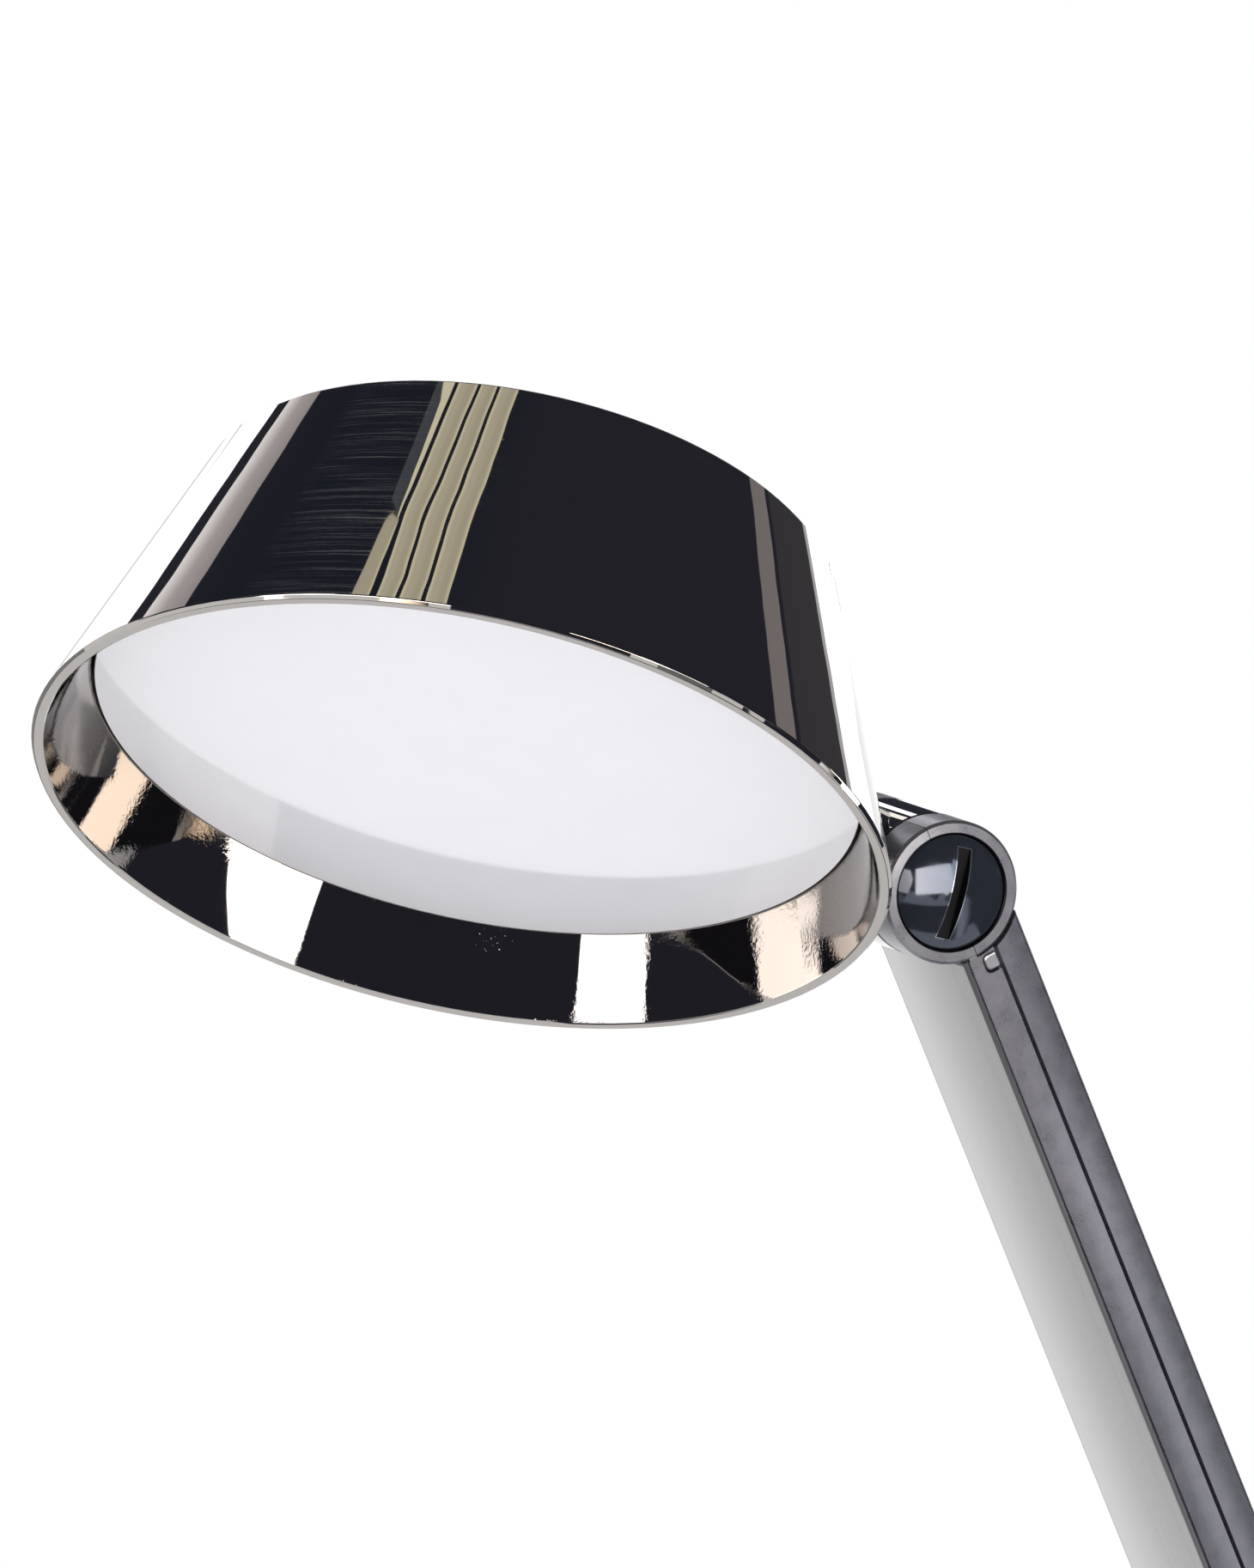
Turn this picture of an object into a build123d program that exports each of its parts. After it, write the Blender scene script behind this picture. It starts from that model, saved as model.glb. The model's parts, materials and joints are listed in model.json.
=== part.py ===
"""Desk lamp: a mirror-chrome cone shade on a turning neck, a flat hinged arm, a round weighted base.

Millimetres, +Z up, origin on the desk under the middle of the base. The hinge axes lie along Y, the
head reaches out towards -X and the slotted screw heads face -Y.
"""

import os
from math import cos, radians, sin, sqrt

from build123d import *

# Pose of the lamp as it stands, in degrees
ARM_LEAN = 23.1  # arm from the vertical, towards the head
NECK_RISE = 26.9  # neck above the horizontal
SHADE_ROLL = 27.4  # shade turned about the neck, mouth towards -Y

# Fits
RUNNING_FIT = 0.05  # radial play of a turning pin in its bore
SEAT_GAP = 0.1  # play of a part let into another
BODY_GAP = 0.4  # room between parts that move past each other
SEAM = 0.12  # parting line between the halves of a knuckle

# Shade, from its mouth up to its crown
MOUTH_R = 75.0
CROWN_R = 55.5
SHADE_HEIGHT = 54.0
LIP = 2.44  # wall of the shade, measured across its flat lip
LIP_BEVEL = 0.75  # bright bevel round the outside of the lip
LIP_ROUND = 0.3  # edges of that bevel
LIP_INNER_BEVEL = 0.2
CROWN_THICK = 2.2
CROWN_ROUND = 0.6

# Light unit inside the shade
DIFFUSER_DEPTH = 14.8  # lip to the face of the diffuser
DIFFUSER_THICK = 2.0
DIFFUSER_GAP = 0.4  # diffuser to the shade wall
DIFFUSER_BEVEL = 0.25
TRAY_WALL = 1.2
TRAY_RIM = 2.0  # width of the tray's flat rims
BOARD_R = 45.0
BOARD_THICK = 1.6
SPREADER_THICK = 2.0
CHIP_LENGTH = 3.5
CHIP_WIDTH = 2.8
CHIP_HEIGHT = 0.8
CHIP_RINGS = ((0.27, 6), (0.54, 12), (0.82, 20))  # share of the board's radius, and number of chips
PILLAR_R = 3.4
PILLAR_INSET = 14.0  # edge of the board to the middle of each pillar
PILLAR_CIRCLE = BOARD_R - PILLAR_INSET
PILLARS = 3
CROWN_BOSS = 3.4  # height of the bosses under the crown
UNIT_SCREW_R = 1.4
UNIT_SCREW_HEAD_R = 2.7
UNIT_SCREW_HEAD = 1.0
UNIT_SCREW_GRIP = 3.2  # thread inside the boss
TERMINAL_LENGTH = 11.0
TERMINAL_WIDTH = 9.0
TERMINAL_REACH = 20.0  # shade axis to the end of the terminal block

# Neck between the upper hinge and the shade
NECK_HEIGHT = 28.3  # neck axis above the lip
NECK_LENGTH = 10.4  # hinge barrel to the shade wall
STEM_R = 9.0
SPIGOT_R = 4.5
BUSH_WALL = 1.4
SADDLE_R = 9.2
SADDLE_REACH = 5.2  # flat face of the saddle beyond the shade wall
NECK_WASHER = 0.8
BOSS_WALL = 1.6
BOSS_DEPTH = 7.0  # inner boss face behind the outer face of the shade wall
NECK_SPRING = 1.3  # height of the dished spring washer
NECK_NUT = 4.0
NECK_NUT_FLATS = 12.0
SPIGOT_PROUD = 1.0
LEAD_R = 1.2
LEAD_BORE_R = 2.0

# Hinges, the same at both ends of the arm
HINGE_R = 12.6
HINGE_WIDTH = 37.84
EAR_WIDTH = 9.2
EAR_BEVEL = 0.5
HEAD_BORE_BEVEL = 0.25
HEAD_BORE_R = 10.22  # recess of the screw head in the ear
HEAD_BORE_DEPTH = 4.2
HINGE_WASHER = 0.7
HINGE_WASHER_RIM = 1.0  # ear edge to the edge of the washer
SLEEVE_R = 4.0
SCREW_R = 2.5
HEAD_GAP = 0.22  # screw head to the wall of its recess
HEAD_EDGE = 0.4  # edge of the dome below the face of the ear
DOME_RISE = 3.2
SLOT_LENGTH = 16.0
SLOT_WIDTH = 2.5
SLOT_DEPTH = 2.4
SLOT_TURN = 38.2  # slot from the direction of the arm, in degrees
HINGE_SPRING = 1.0  # height of the dished spring washer
SPRING_DISH = 0.35
SPRING_RIM = 0.5
LEAD_GROOVE_R = 9.0
LEAD_GROOVE_WIDTH = 6.0

# Arm
ARM_LENGTH = 300.0  # hinge axis to hinge axis
ARM_FRONT = 2.6  # front face ahead of the hinge axes
ARM_BACK = 10.0  # back face behind the hinge axes
ARM_WALL = 2.0
SIDE_BULGE = 0.5
PLATE_THICK = 0.6
PLATE_CROWN = 0.6  # middle of the face plate ahead of its edges
PLATE_INSET = 0.15
PLATE_BEVEL = 0.35
PLATE_SEAM = 0.4  # dark line round the face plate
PLATE_SEAM_DEPTH = 0.6
SLIT = 0.75  # shadow gap along the side of the arm
SLIT_OFFSET = 3.8  # middle of the shadow gap behind the hinge axes
COVER_GAP = 0.6  # back cover to the knuckle
COVER_ROUND = 0.8
TONGUE_WALL = 0.9
TONGUE_LAP = 2.4  # tongue past the shadow gap
HOOK_LENGTH = 3.0
HOOK_REACH = 2.5
HOOK_INSET = 0.4
HOOK_ROUND = 1.1
HOOK_EDGE = 0.5  # rounded outer edge of the hook
HOOK_GAP = 0.3  # hook to the walls of its notch
HOOK_CUT = 1.2  # depth of the shadow gap across the hook
COVER_BOSS_R = 3.4
COVER_SCREW_R = 1.5
COVER_SCREW_HEAD_R = 2.9
COVER_SCREW_GRIP = 4.0
COVER_SCREW_CROSS = 0.7
COVER_SCREW_PITCH = 95.0
COVER_SCREWS = 3
LEAD_SIDE = 8.0  # lead beside the middle of the arm

# Base
BASE_R = 85.0
BASE_TOP_R = 82.5
BASE_HEIGHT = 20.0
BASE_WALL = 2.5
BASE_ROUND = 2.0
SKIRT_GAP = 1.2  # lower edge of the base above the desk
PAD_THICK = 2.0
PAD_INSET = 3.0  # edge of the bottom plate to the edge of the pad
PLATE_GAP = 0.4  # bottom plate to the wall of the base
BOTTOM_PLATE = 2.0
BOSS_R = 3.6
BOSS_INSET = 12.0  # edge of the base to the middle of each screw boss
BOSS_CIRCLE = BASE_R - BOSS_INSET
BASE_SCREWS = 4
BASE_SCREW_R = 1.6
BASE_SCREW_HEAD_R = 3.0
BASE_SCREW_GRIP = 7.0
BALLAST_INSET = 19.0  # edge of the base to the edge of the ballast
BALLAST_R = BASE_R - BALLAST_INSET
BALLAST_THICK = 9.0
PIVOT_INSET = 30.0  # edge of the base to the lower hinge axis
PIVOT_X = BASE_R - PIVOT_INSET
POST_RISE = 25.0  # lower hinge axis above the top of the base
POST_FOOT_R = 15.0
POST_FOOT = 5.0
POST_DEPTH = 20.0
POST_SCREW_R = 1.8
POST_SCREW_HEAD_R = 3.4
POST_SCREW_HEAD = 2.4
POST_SCREW_SPREAD = 10.4  # each screw beside the middle of the post
POST_SCREW_GRIP = 4.2
POST_LEAD_SHIFT = 7.2  # lead in front of the lower hinge axis
LEAD_BEND = 3.6

# Switch and driver in the base
BUTTON_INSET = 39.0  # edge of the base to the middle of the button
BUTTON_X = BUTTON_INSET - BASE_R
BUTTON_R = 8.0
BUTTON_FLANGE = 1.6
BUTTON_FLANGE_RIM = 1.6
BUTTON_PROUD = 1.9
BUTTON_TRAVEL = 1.5
BUTTON_ROUND = 0.8
BUTTON_GAP = 0.3
STEM_PIN_R = 2.4
SWITCH_SIZE = 7.0
BOARD_STAND = 3.0
STAND_R = 2.4
DRIVER_LENGTH = 44.0
DRIVER_WIDTH = 36.0
DRIVER_THICK = 1.6
DRIVER_ROOM = 2.0  # ballast window round the driver board
STAND_INSET = 4.0
CHOKE_R = 4.5
CHOKE_HEIGHT = 5.0
CAPACITOR_R = 3.4
CAPACITOR_HEIGHT = 6.5
CHIP_SIDE = 7.0
PARTS_SPREAD = 10.0
GLAND_R = 4.8
GLAND_WALL = 1.7
GLAND_COLLAR = 1.6
GLAND_PROUD = 2.2
GLAND_LENGTH = 14.0
GLAND_HEIGHT = 10.4

# Places that follow from the sizes
SHADE_SLOPE = (MOUTH_R - CROWN_R) / SHADE_HEIGHT
CROWN_UNDER = SHADE_HEIGHT - CROWN_THICK


def shade_outer(height):
    """Outer radius of the shade at a height above its lip."""
    return MOUTH_R - SHADE_SLOPE * height


def shade_inner(height):
    """Inner radius of the shade at a height above its lip."""
    return shade_outer(height) - LIP


NECK_WALL = HINGE_R + NECK_LENGTH  # hinge axis to the shade wall
NECK_REACH = NECK_WALL + shade_outer(NECK_HEIGHT)  # hinge axis to the shade axis
SADDLE_FACE = NECK_WALL - SADDLE_REACH
STEM_END = SADDLE_FACE - NECK_WASHER
BOSS_FACE = NECK_WALL + BOSS_DEPTH
NECK_DISC_END = BOSS_FACE + NECK_WASHER
NECK_SPRING_END = NECK_DISC_END + NECK_SPRING
NECK_NUT_END = NECK_SPRING_END + NECK_NUT
SPIGOT_END = NECK_NUT_END + SPIGOT_PROUD
BUSH_R = SPIGOT_R + RUNNING_FIT + BUSH_WALL
BOSS_OUTER_R = BUSH_R + BOSS_WALL

DIFFUSER_TOP = DIFFUSER_DEPTH + DIFFUSER_THICK
BOARD_UNDER = NECK_HEIGHT - NECK_NUT_FLATS / 2 - BODY_GAP
BOARD_TOP = BOARD_UNDER + BOARD_THICK
SPREADER_TOP = BOARD_TOP + SPREADER_THICK
PILLAR_TOP = CROWN_UNDER - CROWN_BOSS

EAR_INNER = HINGE_WIDTH / 2 - EAR_WIDTH
EAR_OUTER = HINGE_WIDTH / 2
BARREL_HALF = EAR_INNER - HINGE_WASHER
SLEEVE_BORE_R = SLEEVE_R + RUNNING_FIT
RECESS_FLOOR = EAR_OUTER - HEAD_BORE_DEPTH
HEAD_SEAT = RECESS_FLOOR + HINGE_SPRING
HEAD_R = HEAD_BORE_R - HEAD_GAP
DOME_EDGE = EAR_OUTER - HEAD_EDGE
DOME_TOP = DOME_EDGE + DOME_RISE
DOME_R = (HEAD_R**2 + DOME_RISE**2) / (2 * DOME_RISE)

SLIT_FRONT = SLIT_OFFSET - SLIT / 2
SLIT_BACK = SLIT_OFFSET + SLIT / 2
SHELL_FRONT = PLATE_THICK - ARM_FRONT
SHELL_FLOOR = SHELL_FRONT + ARM_WALL
COVER_FLOOR = ARM_BACK - ARM_WALL
ARM_MIDDLE = (ARM_BACK - ARM_FRONT) / 2
SIDE_R = ((ARM_BACK - ARM_MIDDLE) ** 2 + SIDE_BULGE**2) / (2 * SIDE_BULGE)
ARM_HOLLOW = EAR_OUTER - SIDE_BULGE - ARM_WALL  # half width inside the arm
COVER_CUT_R = HINGE_R + COVER_GAP

PLATE_TOP = PAD_THICK + BOTTOM_PLATE
BASE_UNDER = BASE_HEIGHT - BASE_WALL
BALLAST_TOP = PLATE_TOP + BALLAST_THICK
PIVOT_Z = BASE_HEIGHT + POST_RISE
DRIVER_UNDER = PLATE_TOP + BOARD_STAND
DRIVER_TOP = DRIVER_UNDER + DRIVER_THICK
BUTTON_FLANGE_TOP = BASE_UNDER - SEAT_GAP
BUTTON_FLANGE_UNDER = BUTTON_FLANGE_TOP - BUTTON_FLANGE
SWITCH_TOP = BUTTON_FLANGE_UNDER - BUTTON_TRAVEL - BODY_GAP
BASE_LEAD_Z = BALLAST_TOP + SEAT_GAP + LEAD_R

# Frames: the arm from its lower hinge, each hinge, the neck and the shade from the middle of its mouth
lean = radians(ARM_LEAN)
rise = radians(NECK_RISE)
roll = radians(SHADE_ROLL)
arm_up = Vector(-sin(lean), 0, cos(lean))
arm_behind = Vector(cos(lean), 0, sin(lean))
neck_out = Vector(-cos(rise), 0, sin(rise))
neck_over = Vector(sin(rise), 0, cos(rise))
shade_up = neck_over * cos(roll) + Vector(0, 1, 0) * sin(roll)

pivot = Vector(PIVOT_X, 0, PIVOT_Z)
ARM = Plane(pivot, x_dir=arm_behind, z_dir=arm_up)
ARM_FLOOR = Plane(ARM.from_local_coords((SHELL_FLOOR, 0, 0)), x_dir=ARM.y_dir, z_dir=ARM.x_dir)
ARM_REAR = Plane(ARM.from_local_coords((ARM_BACK, 0, 0)), x_dir=ARM.y_dir, z_dir=ARM.x_dir)
LOWER_HINGE = Plane(pivot, x_dir=arm_behind, z_dir=(0, -1, 0))
UPPER_HINGE = Plane(pivot + arm_up * ARM_LENGTH, x_dir=arm_behind, z_dir=(0, -1, 0))
NECK = Plane(UPPER_HINGE.origin, x_dir=shade_up, z_dir=neck_out)
SHADE = Plane(NECK.origin + neck_out * NECK_REACH - shade_up * NECK_HEIGHT, x_dir=-neck_out, z_dir=shade_up)
SHADE_SECTION = Plane(SHADE.origin, x_dir=SHADE.x_dir, z_dir=-SHADE.y_dir)
SHADE_AXIS = Axis(SHADE.origin, SHADE.z_dir)
NECK_SECTION = Plane(NECK.origin, x_dir=NECK.x_dir, z_dir=-NECK.y_dir)
NECK_AXIS = Axis(NECK.origin, NECK.z_dir)
POST = Plane(pivot, x_dir=(1, 0, 0), z_dir=(0, -1, 0))
GLAND = Plane((BASE_R + GLAND_PROUD, 0, GLAND_HEIGHT), x_dir=(0, 1, 0), z_dir=(1, 0, 0))
MIRROR = Plane.XZ


def shifted(frame, x, y, z):
    """The same frame moved along its own directions."""
    return Plane(frame.from_local_coords((x, y, z)), x_dir=frame.x_dir, z_dir=frame.z_dir)


def hinge_section(hinge):
    """Section through a hinge: across is the distance from its axis, up is along the axis to -Y."""
    return Plane(hinge.origin, x_dir=hinge.x_dir, z_dir=-hinge.y_dir)


def hinge_axis(hinge):
    """Axis of a hinge, towards -Y."""
    return Axis(hinge.origin, hinge.z_dir)


def dome_height(radius):
    """Height of the domed screw head at a radius, along the hinge axis."""
    return DOME_TOP - DOME_R + sqrt(DOME_R**2 - radius**2)


def side_width(depth):
    """Half width of the arm's bulged side at a depth behind the hinge axes."""
    return EAR_OUTER - SIDE_R + sqrt(SIDE_R**2 - (depth - ARM_MIDDLE) ** 2)


def ring(frame, outer, inner, start, length):
    """A plain ring along a frame's axis."""
    with BuildPart() as plain_ring:
        with BuildSketch(frame.offset(start)):
            Circle(outer)
            Circle(inner, mode=Mode.SUBTRACT)
        extrude(amount=length)
    return plain_ring.part


def dished_ring(section, axis, outer, inner, start, height, dish):
    """A spring washer, slightly coned, along an axis."""
    with BuildPart() as spring_ring:
        with BuildSketch(section):
            with BuildLine():
                Polyline(
                    (inner, start),
                    (outer, start + dish),
                    (outer, start + height),
                    (inner, start + height - dish),
                    close=True,
                )
            make_face()
        revolve(axis=axis)
    return spring_ring.part


def arm_outline(front, back, corner):
    """Outline of the arm between two depths, its two sides bulged, its back corners rounded."""
    middle = (front + back) / 2
    with BuildSketch(ARM) as outline:
        with BuildLine():
            near_side = ThreePointArc(
                (front, -side_width(front)),
                (middle, -side_width(middle)),
                (back, -side_width(back)),
            )
            far_side = ThreePointArc(
                (front, side_width(front)),
                (middle, side_width(middle)),
                (back, side_width(back)),
            )
            Line(near_side @ 0, far_side @ 0)
            Line(near_side @ 1, far_side @ 1)
        make_face()
        if corner:
            fillet(outline.vertices().group_by(Axis.X)[-1], corner)
    return outline.sketch


def half_ear(hinge, front_half):
    """Half of the near ear of the arm at a hinge, with its bore and the recess of the screw head."""
    start = Plane(hinge.origin, x_dir=hinge.y_dir, z_dir=hinge.x_dir)
    turn = hinge.z_dir if front_half else -hinge.z_dir
    with BuildPart() as ear:
        with BuildSketch(start):
            with BuildLine():
                Polyline(
                    (SLEEVE_BORE_R, EAR_INNER),
                    (HINGE_R - EAR_BEVEL, EAR_INNER),
                    (HINGE_R, EAR_INNER + EAR_BEVEL),
                    (HINGE_R, EAR_OUTER - EAR_BEVEL),
                    (HINGE_R - EAR_BEVEL, EAR_OUTER),
                    (HEAD_BORE_R + HEAD_BORE_BEVEL, EAR_OUTER),
                    (HEAD_BORE_R, EAR_OUTER - HEAD_BORE_BEVEL),
                    (HEAD_BORE_R, RECESS_FLOOR),
                    (SLEEVE_BORE_R, RECESS_FLOOR),
                    close=True,
                )
            make_face()
        revolve(axis=Axis(hinge.origin, turn), revolution_arc=180)
    return ear.part


def ear_caps(hinge):
    """The two loose back halves of a hinge's ears, parted from the arm by a fine seam."""
    with BuildPart() as caps:
        add(half_ear(hinge, front_half=False))
        with BuildSketch(hinge):
            Rectangle(2 * SEAM, 3 * HINGE_R)
        extrude(amount=HINGE_WIDTH, both=True, mode=Mode.SUBTRACT)
        mirror(about=MIRROR)
    return caps.part


def slotted_head(hinge, shank, tip, turn):
    """A domed, slotted head on a shank that reaches along the hinge axis to tip."""
    slot_plane = Plane(hinge.origin, x_dir=hinge.y_dir, z_dir=hinge.z_dir)
    with BuildPart() as headed:
        with BuildSketch(hinge_section(hinge)):
            with BuildLine():
                Polyline((0, DOME_TOP), (0, tip), (shank, tip), (shank, HEAD_SEAT), (HEAD_R, HEAD_SEAT))
                Line((HEAD_R, HEAD_SEAT), (HEAD_R, DOME_EDGE))
                ThreePointArc((HEAD_R, DOME_EDGE), (HEAD_R / 2, dome_height(HEAD_R / 2)), (0, DOME_TOP))
            make_face()
        revolve(axis=hinge_axis(hinge))
        with BuildSketch(slot_plane.offset(DOME_TOP)):
            Rectangle(SLOT_LENGTH, SLOT_WIDTH, rotation=turn)
        extrude(amount=-SLOT_DEPTH, mode=Mode.SUBTRACT)
    return headed.part


def hinge_screw(hinge):
    """The near screw, its thread inside the sleeve nut."""
    with BuildPart() as screw:
        add(slotted_head(hinge, SCREW_R, SLEEVE_R - RECESS_FLOOR, -SLOT_TURN))
    return screw.part


def hinge_sleeve_nut(hinge):
    """The far sleeve nut: the same head, on a threaded tube that is the hinge's pin."""
    tip = SEAT_GAP - RECESS_FLOOR
    with BuildPart() as nut:
        mirror(slotted_head(hinge, SLEEVE_R, tip, SLOT_TURN), about=MIRROR)
        with BuildSketch(hinge.offset(-tip)):
            Circle(SCREW_R + RUNNING_FIT)
        extrude(amount=tip - RECESS_FLOOR, mode=Mode.SUBTRACT)
    return nut.part


def hinge_spring_washers(hinge):
    """The two dished washers under the screw heads."""
    with BuildPart() as springs:
        add(
            dished_ring(
                hinge_section(hinge),
                hinge_axis(hinge),
                HEAD_R - SPRING_RIM,
                SLEEVE_BORE_R,
                RECESS_FLOOR,
                HINGE_SPRING,
                SPRING_DISH,
            )
        )
        mirror(about=MIRROR)
    return springs.part


def hinge_washers(hinge):
    """The two friction washers between the ears and the barrel."""
    with BuildPart() as washers:
        add(ring(hinge, HINGE_R - HINGE_WASHER_RIM, SLEEVE_BORE_R, BARREL_HALF, HINGE_WASHER))
        mirror(about=MIRROR)
    return washers.part


def barrel_hollow(hinge, way_in):
    """Bore for the hinge pin with the lead's groove round it and the lead's way in from the arm."""
    with BuildPart() as hollow:
        with BuildSketch(hinge):
            Circle(SLEEVE_BORE_R)
        extrude(amount=HINGE_WIDTH, both=True)
        with BuildSketch(hinge):
            Circle(LEAD_GROOVE_R)
        extrude(amount=LEAD_GROOVE_WIDTH / 2, both=True)
        with BuildSketch(Plane(hinge.origin, x_dir=(0, 1, 0), z_dir=way_in)):
            Rectangle(LEAD_GROOVE_WIDTH, 2 * LEAD_BORE_R)
        extrude(amount=2 * HINGE_R)
    return hollow.part


def hook_block(hinge, way, grow, back, inner, outer):
    """Near snap hook beside a hinge, way along the arm from it, grown all round for its notch."""
    front = SLIT_FRONT - HOOK_REACH - grow
    start = HINGE_R + COVER_GAP - grow
    end = HINGE_R + COVER_GAP + HOOK_LENGTH + grow
    with BuildPart() as hook:
        with BuildSketch(hinge.offset(inner)) as outline:
            with Locations(((front + back) / 2, way * (start + end) / 2)):
                Rectangle(back - front, end - start)
            fillet(outline.vertices().group_by(Axis.X)[0], HOOK_ROUND)
        extrude(amount=outer - inner)
    return hook.part


def rounded_hook(hinge, way):
    """Near snap hook of the back cover: rounded outside, and the shadow gap runs on across it."""
    face = EAR_OUTER - HOOK_INSET
    with BuildPart() as hook:
        add(hook_block(hinge, way, 0, SLIT_BACK + ARM_WALL, ARM_HOLLOW, face))
        outer_face = hook.faces().sort_by(hinge_axis(hinge))[-1]
        fillet(outer_face.edges(), HOOK_EDGE)
        with BuildSketch(hinge.offset(face)):
            with Locations((SLIT_OFFSET, way * (HINGE_R + COVER_GAP + HOOK_LENGTH / 2))):
                Rectangle(SLIT, 2 * HOOK_LENGTH)
        extrude(amount=-HOOK_CUT, mode=Mode.SUBTRACT)
    return hook.part


def write(piece, name):
    """Label a finished piece and write it as its own file."""
    piece.label = name
    export_step(piece, f"parts/{name}.step")


os.makedirs("parts", exist_ok=True)

# Shade: drawn metal cone with a flat crown, an inner boss for the neck and low bosses for the light unit
unit_screw_places = PolarLocations(PILLAR_CIRCLE, PILLARS, start_angle=180 / PILLARS)

with BuildPart() as shade_hollow:
    with BuildSketch(SHADE_SECTION):
        with BuildLine():
            Polyline(
                (0, 0),
                (shade_inner(0) + LIP_INNER_BEVEL, 0),
                (shade_inner(LIP_INNER_BEVEL), LIP_INNER_BEVEL),
                (shade_inner(CROWN_UNDER), CROWN_UNDER),
                (0, CROWN_UNDER),
                close=True,
            )
        make_face()
    revolve(axis=SHADE_AXIS)
    with BuildSketch(NECK.offset(BOSS_FACE)):
        Circle(BOSS_OUTER_R)
    extrude(amount=-BOSS_DEPTH - LIP, mode=Mode.SUBTRACT)
    with BuildSketch(SHADE.offset(PILLAR_TOP)):
        with unit_screw_places:
            Circle(PILLAR_R)
    extrude(amount=SHADE_HEIGHT, mode=Mode.SUBTRACT)

with BuildPart() as shade_shell:
    with BuildSketch(SHADE_SECTION) as shade_outline:
        with BuildLine():
            Polyline(
                (0, 0),
                (MOUTH_R - LIP_BEVEL, 0),
                (shade_outer(LIP_BEVEL), LIP_BEVEL),
                (CROWN_R, SHADE_HEIGHT),
                (0, SHADE_HEIGHT),
                close=True,
            )
        make_face()
        fillet(shade_outline.vertices().sort_by(Axis.X)[-2:], LIP_ROUND)
    revolve(axis=SHADE_AXIS)
    fillet(shade_shell.edges().sort_by(SHADE_AXIS)[-1], CROWN_ROUND)
    add(shade_hollow.part, mode=Mode.SUBTRACT)
    with BuildSketch(NECK.offset(BOSS_FACE)):
        Circle(BUSH_R + SEAT_GAP)
    extrude(amount=-BOSS_FACE, mode=Mode.SUBTRACT)
    with BuildSketch(SHADE.offset(PILLAR_TOP)):
        with unit_screw_places:
            Circle(UNIT_SCREW_R)
    extrude(amount=UNIT_SCREW_GRIP + UNIT_SCREW_R, mode=Mode.SUBTRACT)
write(shade_shell.part, "shade_shell")

# Diffuser: opal disc wedged into the cone, its edge following the wall
with BuildPart() as diffuser:
    with BuildSketch(SHADE_SECTION):
        with BuildLine():
            Polyline(
                (0, DIFFUSER_DEPTH),
                (shade_inner(DIFFUSER_DEPTH) - DIFFUSER_GAP - DIFFUSER_BEVEL, DIFFUSER_DEPTH),
                (
                    shade_inner(DIFFUSER_DEPTH + DIFFUSER_BEVEL) - DIFFUSER_GAP,
                    DIFFUSER_DEPTH + DIFFUSER_BEVEL,
                ),
                (shade_inner(DIFFUSER_TOP) - DIFFUSER_GAP, DIFFUSER_TOP),
                (0, DIFFUSER_TOP),
                close=True,
            )
        make_face()
    revolve(axis=SHADE_AXIS)
write(diffuser.part, "diffuser")

# Reflector tray: white cone ring from the back of the diffuser to the edge of the board
tray_edge = shade_inner(DIFFUSER_TOP + TRAY_WALL) - DIFFUSER_GAP - SEAT_GAP
with BuildPart() as reflector_tray:
    with BuildSketch(SHADE_SECTION):
        with BuildLine():
            Polyline(
                (tray_edge, DIFFUSER_TOP),
                (tray_edge, DIFFUSER_TOP + TRAY_WALL),
                (tray_edge - TRAY_RIM, DIFFUSER_TOP + TRAY_WALL),
                (BOARD_R, BOARD_UNDER),
                (BOARD_R - TRAY_RIM, BOARD_UNDER),
                (BOARD_R - TRAY_RIM, BOARD_UNDER - TRAY_WALL),
                (BOARD_R, BOARD_UNDER - TRAY_WALL),
                (tray_edge - TRAY_RIM, DIFFUSER_TOP),
                close=True,
            )
        make_face()
    revolve(axis=SHADE_AXIS)
write(reflector_tray.part, "reflector_tray")

# Board of the lamp, its light chips below it, and above it the heat spreader, cast with its pillars
with BuildPart() as led_board:
    with BuildSketch(SHADE.offset(BOARD_UNDER)):
        Circle(BOARD_R)
        with unit_screw_places:
            Circle(UNIT_SCREW_R + SEAT_GAP, mode=Mode.SUBTRACT)
    extrude(amount=BOARD_THICK)
write(led_board.part, "led_board")

with BuildPart() as led_chips:
    with BuildSketch(SHADE.offset(BOARD_UNDER)):
        for ring_share, chip_count in CHIP_RINGS:
            with PolarLocations(BOARD_R * ring_share, chip_count):
                Rectangle(CHIP_LENGTH, CHIP_WIDTH)
    extrude(amount=-CHIP_HEIGHT)
write(led_chips.part, "led_chips")

with BuildPart() as heat_spreader:
    with BuildSketch(SHADE.offset(BOARD_TOP)):
        Circle(BOARD_R)
    extrude(amount=SPREADER_THICK)
    with BuildSketch(SHADE.offset(SPREADER_TOP)):
        with unit_screw_places:
            Circle(PILLAR_R)
    extrude(amount=PILLAR_TOP - SPREADER_TOP)
    with BuildSketch(SHADE.offset(BOARD_TOP)):
        with unit_screw_places:
            Circle(UNIT_SCREW_R + SEAT_GAP)
    extrude(amount=PILLAR_TOP - BOARD_TOP, mode=Mode.SUBTRACT)
write(heat_spreader.part, "heat_spreader")

with BuildPart() as unit_screws:
    with BuildSketch(SHADE.offset(BOARD_UNDER)):
        with unit_screw_places:
            Circle(UNIT_SCREW_HEAD_R)
    extrude(amount=-UNIT_SCREW_HEAD)
    with BuildSketch(SHADE.offset(BOARD_UNDER)):
        with unit_screw_places:
            Circle(UNIT_SCREW_R)
    extrude(amount=PILLAR_TOP - BOARD_UNDER + UNIT_SCREW_GRIP)
write(unit_screws.part, "unit_screws")

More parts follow.
